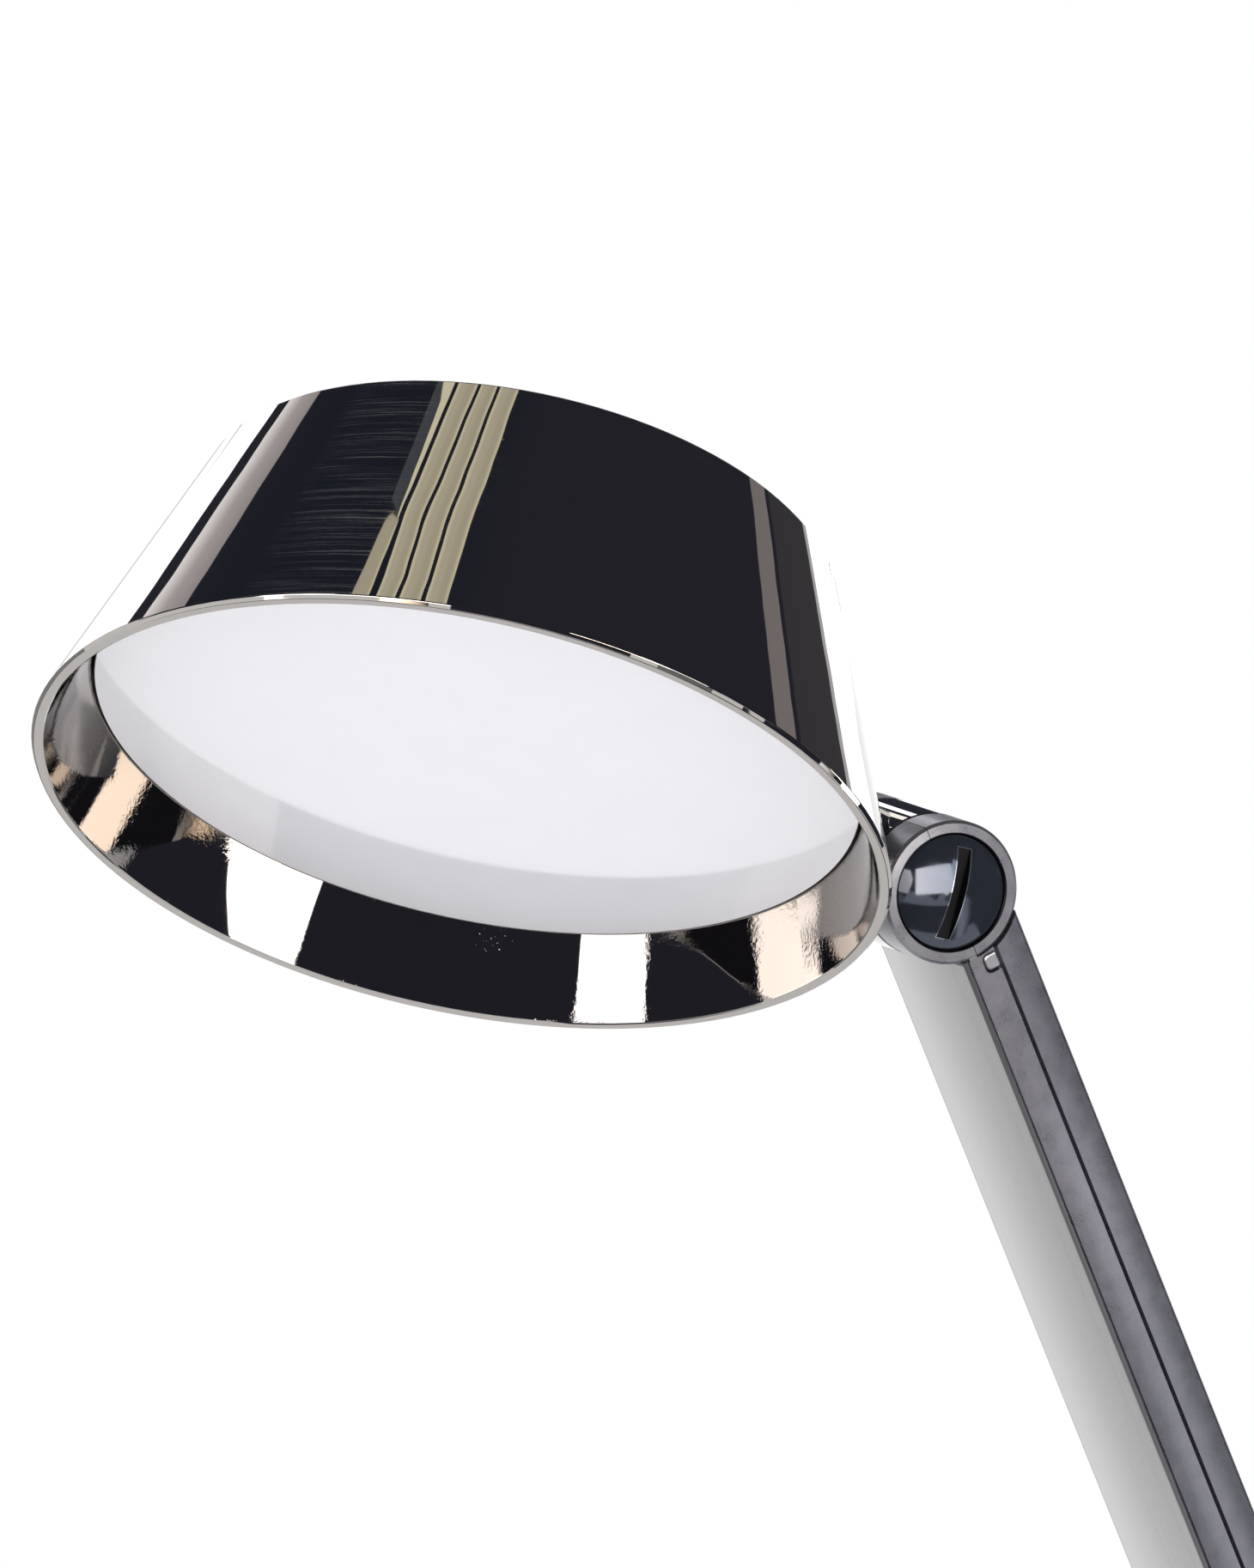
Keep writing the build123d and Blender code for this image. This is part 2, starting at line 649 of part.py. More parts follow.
terminal_height = 2 * (NECK_HEIGHT - SPREADER_TOP)
with BuildPart() as terminal_block:
    with BuildSketch(shifted(SHADE, TERMINAL_REACH - TERMINAL_LENGTH / 2, 0, SPREADER_TOP)):
        Rectangle(TERMINAL_LENGTH, TERMINAL_WIDTH)
    extrude(amount=terminal_height)
    terminal_ends = terminal_block.edges().filter_by(Axis(SHADE.origin, SHADE.y_dir))
    chamfer(terminal_ends.sort_by(SHADE_AXIS)[-2:], SEAT_GAP)
write(terminal_block.part, "terminal_block")

with BuildPart() as head_lead:
    with BuildSketch(NECK.offset(NECK_REACH - TERMINAL_REACH)):
        Circle(LEAD_R)
    extrude(amount=-(NECK_REACH - TERMINAL_REACH - LEAD_GROOVE_R))
write(head_lead.part, "head_lead")

# Neck: saddle and bush on the shade, then the stem of the knuckle with its washers and nut
with BuildPart() as neck_saddle:
    with BuildSketch(NECK.offset(SADDLE_FACE)):
        Circle(SADDLE_R)
    extrude(amount=SADDLE_REACH + SADDLE_R)
    with BuildSketch(SHADE_SECTION):
        with BuildLine():
            Polyline(
                (0, 0),
                (MOUTH_R, 0),
                (CROWN_R, SHADE_HEIGHT),
                (0, SHADE_HEIGHT),
                close=True,
            )
        make_face()
    revolve(axis=SHADE_AXIS, mode=Mode.SUBTRACT)
    with BuildSketch(NECK.offset(SADDLE_FACE)):
        Circle(BUSH_R + SEAT_GAP)
    extrude(amount=SADDLE_REACH + SADDLE_R, mode=Mode.SUBTRACT)
write(neck_saddle.part, "neck_saddle")

neck_bush = ring(NECK, BUSH_R, SPIGOT_R + RUNNING_FIT, SADDLE_FACE, BOSS_FACE - SADDLE_FACE)
write(neck_bush, "neck_bush")

neck_washer = ring(NECK, STEM_R, SPIGOT_R + RUNNING_FIT, STEM_END, NECK_WASHER)
write(neck_washer, "neck_washer")

with BuildPart() as tilt_knuckle:
    with BuildSketch(UPPER_HINGE):
        Circle(HINGE_R)
    extrude(amount=BARREL_HALF, both=True)
    with BuildSketch(NECK):
        Circle(STEM_R)
    extrude(amount=STEM_END)
    with BuildSketch(NECK.offset(STEM_END)):
        Circle(SPIGOT_R)
    extrude(amount=SPIGOT_END - STEM_END)
    with BuildSketch(NECK):
        Circle(LEAD_BORE_R)
    extrude(amount=SPIGOT_END, mode=Mode.SUBTRACT)
    add(barrel_hollow(UPPER_HINGE, -arm_up), mode=Mode.SUBTRACT)
write(tilt_knuckle.part, "tilt_knuckle")

neck_disc = ring(NECK, BOSS_OUTER_R, SPIGOT_R + RUNNING_FIT, BOSS_FACE, NECK_WASHER)
write(neck_disc, "neck_disc")

neck_spring = dished_ring(
    NECK_SECTION,
    NECK_AXIS,
    NECK_NUT_FLATS / 2,
    SPIGOT_R + RUNNING_FIT,
    NECK_DISC_END,
    NECK_SPRING,
    SPRING_DISH,
)
write(neck_spring, "neck_spring")

with BuildPart() as neck_nut:
    with BuildSketch(NECK.offset(NECK_SPRING_END)):
        RegularPolygon(NECK_NUT_FLATS / 2, 6, major_radius=False, rotation=30)
        Circle(SPIGOT_R + RUNNING_FIT, mode=Mode.SUBTRACT)
    extrude(amount=NECK_NUT)
write(neck_nut.part, "neck_nut")

# Hinge hardware, the same set at the top and at the foot of the arm
for hinge, place in ((UPPER_HINGE, "upper"), (LOWER_HINGE, "lower")):
    write(hinge_screw(hinge), f"{place}_hinge_screw")
    write(hinge_sleeve_nut(hinge), f"{place}_sleeve_nut")
    write(hinge_spring_washers(hinge), f"{place}_spring_washers")
    write(hinge_washers(hinge), f"{place}_hinge_washers")
    write(ear_caps(hinge), f"{place}_ear_caps")

# Arm: front shell with the fixed halves of the ears, closed by a back cover along a shadow gap
cover_screw_heights = [
    ARM_LENGTH / 2 + (number - (COVER_SCREWS - 1) / 2) * COVER_SCREW_PITCH for number in range(COVER_SCREWS)
]
screw_line = [(0, height) for height in cover_screw_heights]
hook_start = HINGE_R + COVER_GAP
tongue_start = hook_start + HOOK_LENGTH + BODY_GAP

with BuildPart() as arm_front_shell:
    extrude(arm_outline(SHELL_FRONT, SLIT_FRONT, 0), amount=ARM_LENGTH)
    with BuildSketch(shifted(ARM, SHELL_FRONT + PLATE_SEAM / 2, 0, 0)):
        Rectangle(PLATE_SEAM, HINGE_WIDTH)
        Rectangle(PLATE_SEAM, 2 * (side_width(SHELL_FRONT) - PLATE_SEAM_DEPTH), mode=Mode.SUBTRACT)
    extrude(amount=ARM_LENGTH, mode=Mode.SUBTRACT)
    with BuildSketch(shifted(ARM, (SHELL_FLOOR + SLIT_FRONT) / 2, 0, 0)):
        Rectangle(SLIT_FRONT - SHELL_FLOOR, 2 * ARM_HOLLOW)
    extrude(amount=ARM_LENGTH, mode=Mode.SUBTRACT)
    for hinge in (LOWER_HINGE, UPPER_HINGE):
        with BuildSketch(hinge):
            Circle(HINGE_R + BODY_GAP)
        extrude(amount=EAR_INNER, both=True, mode=Mode.SUBTRACT)
        with BuildSketch(hinge):
            Circle(HINGE_R + SEAM)
            with Locations((-HINGE_R, 0)):
                Rectangle(2 * HINGE_R, 3 * HINGE_R, mode=Mode.SUBTRACT)
        extrude(amount=HINGE_WIDTH, both=True, mode=Mode.SUBTRACT)
        with BuildSketch(hinge):
            Circle(HINGE_R - EAR_BEVEL)
        extrude(amount=HINGE_WIDTH, both=True, mode=Mode.SUBTRACT)
        with BuildSketch(hinge):
            Circle(HINGE_R + PLATE_SEAM)
            with Locations((SHELL_FRONT + PLATE_SEAM_DEPTH + 2 * HINGE_R, 0)):
                Rectangle(4 * HINGE_R, 3 * HINGE_R, mode=Mode.SUBTRACT)
        extrude(amount=HINGE_WIDTH, both=True, mode=Mode.SUBTRACT)
        add(half_ear(hinge, front_half=True))
        mirror(half_ear(hinge, front_half=True), about=MIRROR)
    with BuildSketch(shifted(ARM, SLIT_FRONT + (TONGUE_LAP + SLIT - ARM_WALL) / 2, 0, tongue_start)):
        with Locations((0, ARM_HOLLOW - TONGUE_WALL / 2), (0, TONGUE_WALL / 2 - ARM_HOLLOW)):
            Rectangle(TONGUE_LAP + SLIT + ARM_WALL, TONGUE_WALL)
    extrude(amount=ARM_LENGTH - 2 * tongue_start)
    with BuildSketch(ARM_FLOOR):
        with Locations(*screw_line):
            Circle(COVER_BOSS_R)
            Circle(COVER_SCREW_R, mode=Mode.SUBTRACT)
    extrude(amount=COVER_FLOOR - SHELL_FLOOR)
    for hinge, way in ((LOWER_HINGE, 1), (UPPER_HINGE, -1)):
        notch = hook_block(hinge, way, HOOK_GAP, SLIT_BACK, ARM_HOLLOW, EAR_OUTER)
        add(notch, mode=Mode.SUBTRACT)
        mirror(notch, about=MIRROR, mode=Mode.SUBTRACT)
write(arm_front_shell.part, "arm_front_shell")

# Bright face plate on the front of the arm, slightly crowned across, ending at the knuckles
plate_side = side_width(-ARM_FRONT) - PLATE_INSET
crown_side = plate_side - PLATE_BEVEL

with BuildPart() as arm_face_plate:
    with BuildSketch(shifted(ARM, SHELL_FRONT, 0, 0)):
        with BuildLine():
            ThreePointArc(
                (-PLATE_THICK, crown_side), (-PLATE_THICK - PLATE_CROWN, 0), (-PLATE_THICK, -crown_side)
            )
            Polyline(
                (-PLATE_THICK, -crown_side),
                (PLATE_BEVEL - PLATE_THICK, -plate_side),
                (0, -plate_side),
                (0, plate_side),
                (PLATE_BEVEL - PLATE_THICK, plate_side),
                (-PLATE_THICK, crown_side),
            )
        make_face()
    extrude(amount=ARM_LENGTH)
    for hinge in (LOWER_HINGE, UPPER_HINGE):
        with BuildSketch(hinge):
            Circle(HINGE_R + BODY_GAP)
        extrude(amount=HINGE_WIDTH, both=True, mode=Mode.SUBTRACT)
write(arm_face_plate.part, "arm_face_plate")

# Back cover: its hooks show in the notches of the front shell at both ends of the shadow gap
with BuildPart() as arm_back_cover:
    extrude(arm_outline(SLIT_BACK, ARM_BACK, COVER_ROUND), amount=ARM_LENGTH)
    with BuildSketch(shifted(ARM, (SLIT_BACK + COVER_FLOOR) / 2, 0, 0)):
        Rectangle(COVER_FLOOR - SLIT_BACK, 2 * ARM_HOLLOW)
    extrude(amount=ARM_LENGTH, mode=Mode.SUBTRACT)
    for hinge in (LOWER_HINGE, UPPER_HINGE):
        with BuildSketch(hinge):
            Circle(COVER_CUT_R)
        extrude(amount=HINGE_WIDTH, both=True, mode=Mode.SUBTRACT)
    with BuildSketch(ARM_REAR):
        with Locations(*screw_line):
            Circle(COVER_SCREW_R + SEAT_GAP)
    extrude(amount=-ARM_WALL, mode=Mode.SUBTRACT)
    with BuildSketch(ARM_REAR):
        with Locations(*screw_line):
            Circle(COVER_SCREW_HEAD_R + SEAT_GAP)
    extrude(amount=-(COVER_SCREW_HEAD_R - COVER_SCREW_R), taper=45, mode=Mode.SUBTRACT)
    for hinge, way in ((LOWER_HINGE, 1), (UPPER_HINGE, -1)):
        hook = rounded_hook(hinge, way)
        add(hook)
        mirror(hook, about=MIRROR)
write(arm_back_cover.part, "arm_back_cover")

with BuildPart() as cover_screws:
    with BuildSketch(ARM_REAR):
        with Locations(*screw_line):
            Circle(COVER_SCREW_HEAD_R)
    extrude(amount=-(COVER_SCREW_HEAD_R - COVER_SCREW_R), taper=45)
    with BuildSketch(ARM_REAR):
        with Locations(*screw_line):
            Circle(COVER_SCREW_R)
    extrude(amount=-ARM_WALL - COVER_SCREW_GRIP)
    with BuildSketch(ARM_REAR):
        with Locations(*screw_line):
            Rectangle(COVER_SCREW_HEAD_R, COVER_SCREW_CROSS)
            Rectangle(COVER_SCREW_CROSS, COVER_SCREW_HEAD_R)
    extrude(amount=-COVER_SCREW_CROSS, mode=Mode.SUBTRACT)
write(cover_screws.part, "cover_screws")

lead_end = HINGE_R + BODY_GAP + LEAD_R
with BuildPart() as arm_lead:
    with BuildSketch(shifted(ARM, SHELL_FLOOR + SEAT_GAP + LEAD_R, LEAD_SIDE, lead_end)):
        Circle(LEAD_R)
    extrude(amount=ARM_LENGTH - 2 * lead_end)
write(arm_lead.part, "arm_lead")


def base_outer(height):
    """Outer radius of the base at a height above the desk."""
    return BASE_R - (BASE_R - BASE_TOP_R) * (height - SKIRT_GAP) / (BASE_HEIGHT - SKIRT_GAP)


# Base: spun metal shell with screw bosses inside, closed by a steel plate on a rubber pad
base_screw_places = PolarLocations(BOSS_CIRCLE, BASE_SCREWS, start_angle=180 / BASE_SCREWS)
post_screw_places = Locations((PIVOT_X, POST_SCREW_SPREAD), (PIVOT_X, -POST_SCREW_SPREAD))
post_lead_place = Locations((PIVOT_X - POST_LEAD_SHIFT, 0))
button_place = Locations((BUTTON_X, 0))

with BuildPart() as base_body:
    with BuildSketch(Plane.XZ):
        with BuildLine():
            Polyline(
                (0, SKIRT_GAP),
                (BASE_R, SKIRT_GAP),
                (BASE_TOP_R, BASE_HEIGHT),
                (0, BASE_HEIGHT),
                close=True,
            )
        make_face()
    revolve(axis=Axis.Z)
    fillet(base_body.edges().group_by(Axis.Z)[-1], BASE_ROUND)

with BuildPart() as base_hollow:
    with BuildSketch(Plane.XZ):
        with BuildLine():
            Polyline(
                (0, 0),
                (base_outer(0) - BASE_WALL, 0),
                (base_outer(BASE_UNDER) - BASE_WALL, BASE_UNDER),
                (0, BASE_UNDER),
                close=True,
            )
        make_face()
    revolve(axis=Axis.Z)
    with BuildSketch(Plane.XY.offset(PLATE_TOP)):
        with base_screw_places:
            Circle(BOSS_R)
    extrude(amount=BASE_HEIGHT, mode=Mode.SUBTRACT)

with BuildPart() as base_shell:
    add(base_body.part)
    add(base_hollow.part, mode=Mode.SUBTRACT)
    with BuildSketch(Plane.XY.offset(PLATE_TOP)):
        with base_screw_places:
            Circle(BASE_SCREW_R)
    extrude(amount=BASE_SCREW_GRIP + BASE_SCREW_R, mode=Mode.SUBTRACT)
    with BuildSketch(Plane.XY.offset(BASE_UNDER)):
        with button_place:
            Circle(BUTTON_R + BUTTON_GAP)
        with post_lead_place:
            Circle(LEAD_BORE_R)
        with post_screw_places:
            Circle(POST_SCREW_R + SEAT_GAP)
    extrude(amount=BASE_WALL, mode=Mode.SUBTRACT)
    with BuildSketch(GLAND):
        Circle(GLAND_R + SEAT_GAP)
    extrude(amount=-GLAND_LENGTH, mode=Mode.SUBTRACT)
write(base_shell.part, "base_shell")

driver_x = BUTTON_X + SWITCH_SIZE / 2
stand_grid = GridLocations(DRIVER_LENGTH - 2 * STAND_INSET, DRIVER_WIDTH - 2 * STAND_INSET, 2, 2)

plate_r = base_outer(PLATE_TOP) - BASE_WALL - PLATE_GAP

with BuildPart() as bottom_plate:
    with BuildSketch(Plane.XY.offset(PAD_THICK)):
        Circle(plate_r)
        with base_screw_places:
            Circle(BASE_SCREW_R + SEAT_GAP, mode=Mode.SUBTRACT)
    extrude(amount=BOTTOM_PLATE)
    with BuildSketch(Plane.XY.offset(PAD_THICK)):
        with base_screw_places:
            Circle(BASE_SCREW_HEAD_R + SEAT_GAP)
    extrude(amount=BASE_SCREW_HEAD_R - BASE_SCREW_R, taper=45, mode=Mode.SUBTRACT)
    with BuildSketch(Plane((driver_x, 0, PLATE_TOP))):
        with stand_grid:
            Circle(STAND_R)
    extrude(amount=BOARD_STAND)
write(bottom_plate.part, "bottom_plate")

with BuildPart() as base_screws:
    with BuildSketch(Plane.XY.offset(PAD_THICK)):
        with base_screw_places:
            Circle(BASE_SCREW_HEAD_R)
    extrude(amount=BASE_SCREW_HEAD_R - BASE_SCREW_R, taper=45)
    with BuildSketch(Plane.XY.offset(PAD_THICK)):
        with base_screw_places:
            Circle(BASE_SCREW_R)
    extrude(amount=BOTTOM_PLATE + BASE_SCREW_GRIP)
write(base_screws.part, "base_screws")

# Foam-rubber pad glued under the plate, over the screws
with BuildPart() as base_pad:
    with BuildSketch():
        Circle(plate_r - PAD_INSET)
    extrude(amount=PAD_THICK)
write(base_pad.part, "base_pad")

# Cast-iron ballast on the plate, with a window for the driver board
with BuildPart() as ballast:
    with BuildSketch(Plane.XY.offset(PLATE_TOP)):
        Circle(BALLAST_R)
        with Locations((driver_x + DRIVER_LENGTH / 2 + DRIVER_ROOM, 0)):
            Rectangle(
                BALLAST_R,
                DRIVER_WIDTH + 2 * DRIVER_ROOM,
                align=(Align.MAX, Align.CENTER),
                mode=Mode.SUBTRACT,
            )
    extrude(amount=BALLAST_THICK)
write(ballast.part, "ballast")

# Driver board on its stands, with its parts and the switch under the button
with BuildPart() as driver_board:
    with BuildSketch(Plane((driver_x, 0, DRIVER_UNDER))):
        Rectangle(DRIVER_LENGTH, DRIVER_WIDTH)
    extrude(amount=DRIVER_THICK)
write(driver_board.part, "driver_board")

with BuildPart() as driver_parts:
    with BuildSketch(Plane((driver_x, 0, DRIVER_TOP))):
        with Locations((PARTS_SPREAD, PARTS_SPREAD)):
            Circle(CHOKE_R)
    extrude(amount=CHOKE_HEIGHT)
    with BuildSketch(Plane((driver_x, 0, DRIVER_TOP))):
        with Locations((PARTS_SPREAD, -PARTS_SPREAD)):
            Circle(CAPACITOR_R)
    extrude(amount=CAPACITOR_HEIGHT)
    with BuildSketch(Plane((driver_x, 0, DRIVER_TOP))):
        with Locations((-PARTS_SPREAD, PARTS_SPREAD)):
            Rectangle(CHIP_SIDE, CHIP_SIDE)
    extrude(amount=DRIVER_THICK)
write(driver_parts.part, "driver_parts")

with BuildPart() as push_switch:
    with BuildSketch(Plane((BUTTON_X, 0, DRIVER_TOP))):
        Rectangle(SWITCH_SIZE, SWITCH_SIZE)
    extrude(amount=SWITCH_TOP - DRIVER_TOP)
write(push_switch.part, "push_switch")

with BuildPart() as power_button:
    with BuildSketch(Plane((BUTTON_X, 0, BUTTON_FLANGE_UNDER))):
        Circle(BUTTON_R)
    extrude(amount=BASE_HEIGHT + BUTTON_PROUD - BUTTON_FLANGE_UNDER)
    fillet(power_button.edges().group_by(Axis.Z)[-1], BUTTON_ROUND)
    with BuildSketch(Plane((BUTTON_X, 0, BUTTON_FLANGE_UNDER))):
        Circle(BUTTON_R + BUTTON_FLANGE_RIM)
    extrude(amount=BUTTON_FLANGE)
    with BuildSketch(Plane((BUTTON_X, 0, SWITCH_TOP + BUTTON_TRAVEL + SEAT_GAP))):
        Circle(STEM_PIN_R)
    extrude(amount=BUTTON_FLANGE)
write(power_button.part, "power_button")

# Post: the fixed barrel of the lower hinge on a round foot, screwed down from inside the base
with BuildPart() as base_post:
    with BuildSketch(POST):
        Circle(HINGE_R)
        with Locations((0, -POST_RISE / 2)):
            Rectangle(POST_DEPTH, POST_RISE)
    extrude(amount=BARREL_HALF, both=True)
    with BuildSketch(Plane((PIVOT_X, 0, BASE_HEIGHT))):
        Circle(POST_FOOT_R)
    extrude(amount=POST_FOOT)
    add(barrel_hollow(LOWER_HINGE, arm_up), mode=Mode.SUBTRACT)
    with BuildSketch(Plane.XY.offset(BASE_HEIGHT)):
        with post_lead_place:
            Circle(LEAD_BORE_R)
    extrude(amount=POST_RISE, mode=Mode.SUBTRACT)
    with BuildSketch(Plane.XY.offset(BASE_HEIGHT)):
        with post_screw_places:
            Circle(POST_SCREW_R)
    extrude(amount=POST_SCREW_GRIP, mode=Mode.SUBTRACT)
write(base_post.part, "base_post")

with BuildPart() as post_screws:
    with BuildSketch(Plane.XY.offset(BASE_UNDER)):
        with post_screw_places:
            Circle(POST_SCREW_HEAD_R)
    extrude(amount=-POST_SCREW_HEAD)
    with BuildSketch(Plane.XY.offset(BASE_UNDER)):
        with post_screw_places:
            Circle(POST_SCREW_R)
    extrude(amount=BASE_WALL + POST_SCREW_GRIP - SEAT_GAP)
write(post_screws.part, "post_screws")

# Lead from the driver board over the ballast and up into the post
lead_start_x = driver_x + DRIVER_LENGTH / 2 - STAND_INSET
lead_route = [
    (lead_start_x, 0, DRIVER_TOP),
    (lead_start_x, 0, BASE_LEAD_Z),
    (PIVOT_X - POST_LEAD_SHIFT, 0, BASE_LEAD_Z),
    (PIVOT_X - POST_LEAD_SHIFT, 0, BASE_HEIGHT + POST_RISE - LEAD_GROOVE_R),
]
with BuildPart() as base_lead:
    with BuildLine():
        FilletPolyline(*lead_route, radius=LEAD_BEND)
    with BuildSketch(Plane(lead_route[0])):
        Circle(LEAD_R)
    sweep()
write(base_lead.part, "base_lead")

# Rubber gland at the back of the base, where the supply cord goes in
with BuildPart() as cord_gland:
    with BuildSketch(GLAND):
        Circle(GLAND_R + GLAND_COLLAR)
    extrude(amount=-GLAND_LENGTH)
    add(base_body.part, mode=Mode.SUBTRACT)
    with BuildSketch(GLAND):
        Circle(GLAND_R)
    extrude(amount=-GLAND_LENGTH)
    with BuildSketch(GLAND):
        Circle(GLAND_R - GLAND_WALL)
    extrude(amount=-GLAND_LENGTH, mode=Mode.SUBTRACT)
write(cord_gland.part, "cord_gland")
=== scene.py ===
"""Desk lamp: finishes, floor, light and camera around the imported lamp. Metres, in the lamp's own frame."""
import json
import math

import bpy
from mathutils import Matrix, Vector


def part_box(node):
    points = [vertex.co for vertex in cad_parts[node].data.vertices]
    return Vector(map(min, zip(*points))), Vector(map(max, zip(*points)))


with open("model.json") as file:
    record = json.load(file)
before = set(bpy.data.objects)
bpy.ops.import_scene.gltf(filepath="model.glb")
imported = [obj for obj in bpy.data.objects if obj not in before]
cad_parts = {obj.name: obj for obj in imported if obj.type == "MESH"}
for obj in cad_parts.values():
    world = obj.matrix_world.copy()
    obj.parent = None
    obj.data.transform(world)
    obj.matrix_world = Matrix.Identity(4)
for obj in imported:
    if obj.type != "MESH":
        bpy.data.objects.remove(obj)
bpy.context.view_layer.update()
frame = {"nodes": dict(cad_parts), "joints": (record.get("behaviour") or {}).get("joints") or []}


# Pad under the base and gland in its wall: matt black rubber with open pores.
# The pad is die-cut from foam and glued on over the plate's screws; the gland is moulded and pushed in.
class Feed:
    """One output in a finish's node tree. Sums and products of feeds add Math nodes to that tree."""

    NOISE_LOW = 0.3
    NOISE_HIGH = 0.7

    def __init__(self, tree, socket=None):
        self.tree = tree
        self.socket = socket

    def node(self, kind, settings=None, sockets=None, out=None):
        """Any other node: its type, its settings, then its sockets' values or links by name or identifier."""
        made = self.tree.nodes.new(kind)
        for key, value in (settings or {}).items():
            setattr(made, key, value)
        for key, value in (sockets or {}).items():
            socket = next(s for s in made.inputs if key in (s.identifier, s.name) and s.enabled)
            if isinstance(value, Feed):
                self.tree.links.new(value.socket, socket)
            elif socket.type == "RGBA":
                socket.default_value = (*value, 1.0)
            else:
                socket.default_value = value
        found = [s for s in made.outputs if s.enabled]
        named = [s for s in found if out in (s.identifier, s.name)]
        return Feed(self.tree, (named or found or [None])[0])

    def math(self, operation, *values):
        """A Math node on one or two values."""
        names = ("Value", "Value_001")
        return self.node("ShaderNodeMath", {"operation": operation}, dict(zip(names, values)))

    def __add__(self, other):
        return self.math("ADD", self, other)

    def __sub__(self, other):
        return self.math("SUBTRACT", self, other)

    def __rsub__(self, other):
        return self.math("SUBTRACT", other, self)

    def __mul__(self, other):
        return self.math("MULTIPLY", self, other)

    __radd__ = __add__
    __rmul__ = __mul__

    def ramp(self, low, high, to_low=0.0, to_high=1.0):
        """A smooth step from to_low to to_high as this value goes from low to high."""
        settings = {"interpolation_type": "SMOOTHSTEP"}
        sockets = {"Value": self, "From Min": low, "From Max": high, "To Min": to_low, "To Max": to_high}
        return self.node("ShaderNodeMapRange", settings, sockets)

    def spread(self, to_low=0.0, to_high=1.0):
        """A smooth step over the range that most of a noise lies in."""
        return self.ramp(self.NOISE_LOW, self.NOISE_HIGH, to_low, to_high)

    def blend(self, first, second):
        """The first colour where this value is 0, the second where it is 1."""
        sockets = {"Factor_Float": self, "A_Color": first, "B_Color": second}
        return self.node("ShaderNodeMix", {"data_type": "RGBA"}, sockets, "Result_Color")

    def noise(self, scale, detail=2.0):
        """Soft noise on this vector, scale in features to the metre."""
        return self.node("ShaderNodeTexNoise", None, {"Vector": self, "Scale": scale, "Detail": detail})

    def vector(self, operation, other=None, out=None):
        """A Vector Math node on this vector and, where it takes one, another."""
        sockets = {"Vector": self}
        if other is not None:
            sockets["Vector_001"] = other
        return self.node("ShaderNodeVectorMath", {"operation": operation}, sockets, out)

    def stretch(self, across, along, up):
        """This vector with each axis scaled by its own factor."""
        return self.vector("MULTIPLY", (across, along, up))

    def length(self):
        """The length of this vector."""
        return self.vector("LENGTH", None, "Value")

    def axis(self, name):
        """One axis of this vector: X, Y or Z."""
        return self.node("ShaderNodeSeparateXYZ", None, {"Vector": self}, name)

    def bump(self, depth, under=None):
        """This height, in units of depth metres, as a surface normal, on top of another if one is given."""
        sockets = {"Height": self, "Distance": depth, "Strength": 1.0}
        if under:
            sockets["Normal"] = under
        return self.node("ShaderNodeBump", None, sockets)


def finish(name, place=None):
    """A new material and its piece's coordinates, in the lamp's frame or in one placed by a matrix."""
    material = bpy.data.materials.new(name)
    material.use_nodes = True
    material.node_tree.nodes.clear()
    start = Feed(material.node_tree)
    spot = start.node("ShaderNodeTexCoord", None, None, "Object")
    if place:
        sockets = {"Vector": spot, "Location": place.to_translation(), "Rotation": place.to_euler()}
        spot = start.node("ShaderNodeMapping", {"vector_type": "TEXTURE"}, sockets)
    return material, spot


def coat(material, spot, **sockets):
    """Close a material with its surface shader."""
    named = {key.replace("_", " "): value for key, value in sockets.items()}
    surface = spot.node("ShaderNodeBsdfPrincipled", None, named)
    spot.node("ShaderNodeOutputMaterial", None, {"Surface": surface})


def dress(material, *nodes):
    """Give CAD nodes this finish."""
    for node in nodes:
        frame["nodes"][node].material_slots[0].material = material


PORES = 900.0
PORE_DEPTH = 0.0002
RUBBER = ((0.022, 0.022, 0.023), (0.040, 0.040, 0.041))
rubber, spot = finish("pad_rubber")
pores = spot.noise(PORES, 3.0)
coat(rubber, spot, Base_Color=pores.spread().blend(*RUBBER), Roughness=pores.spread(0.7, 0.9),
     Normal=pores.bump(PORE_DEPTH))
dress(rubber, "base_pad", "cord_gland")


# Bottom plate: pressed steel that closes the base from below and carries the weight, held by screws.
# It is powder coated matt black, which leaves a fine pebbled skin.
POWDER_GRAIN = 1500.0
POWDER_DEPTH = 0.0001
POWDER = ((0.016, 0.016, 0.018), (0.026, 0.026, 0.029))
powder, spot = finish("black_plate")
grain = spot.noise(POWDER_GRAIN)
coat(powder, spot, Base_Color=grain.spread().blend(*POWDER), Roughness=grain.spread(0.42, 0.58),
     Normal=grain.bump(POWDER_DEPTH))
dress(powder, "bottom_plate")


# Base shell: spun steel, brushed in circles on a lathe and clear coated.
# The brushing runs round the middle of the base on its top and round its side alike.
BRUSH_ROUND = 5.0
BRUSH_FINE = 2600.0
BRUSH_DEPTH = 0.00003
BRUSH_LOW = 0.25
BRUSH_HIGH = 0.75
SPUN_STEEL = ((0.40, 0.395, 0.39), (0.60, 0.59, 0.58))


def turned_lines(spot, features, level, detail):
    """Noise drawn out into fine lines round the Z axis: few features round it, many along the level."""
    ring = spot.stretch(1.0, 1.0, 0.0).vector("NORMALIZE").stretch(features, features, 0.0)
    line = spot.node("ShaderNodeCombineXYZ", None, {"Z": level})
    return ring.vector("ADD", line).noise(1.0, detail)


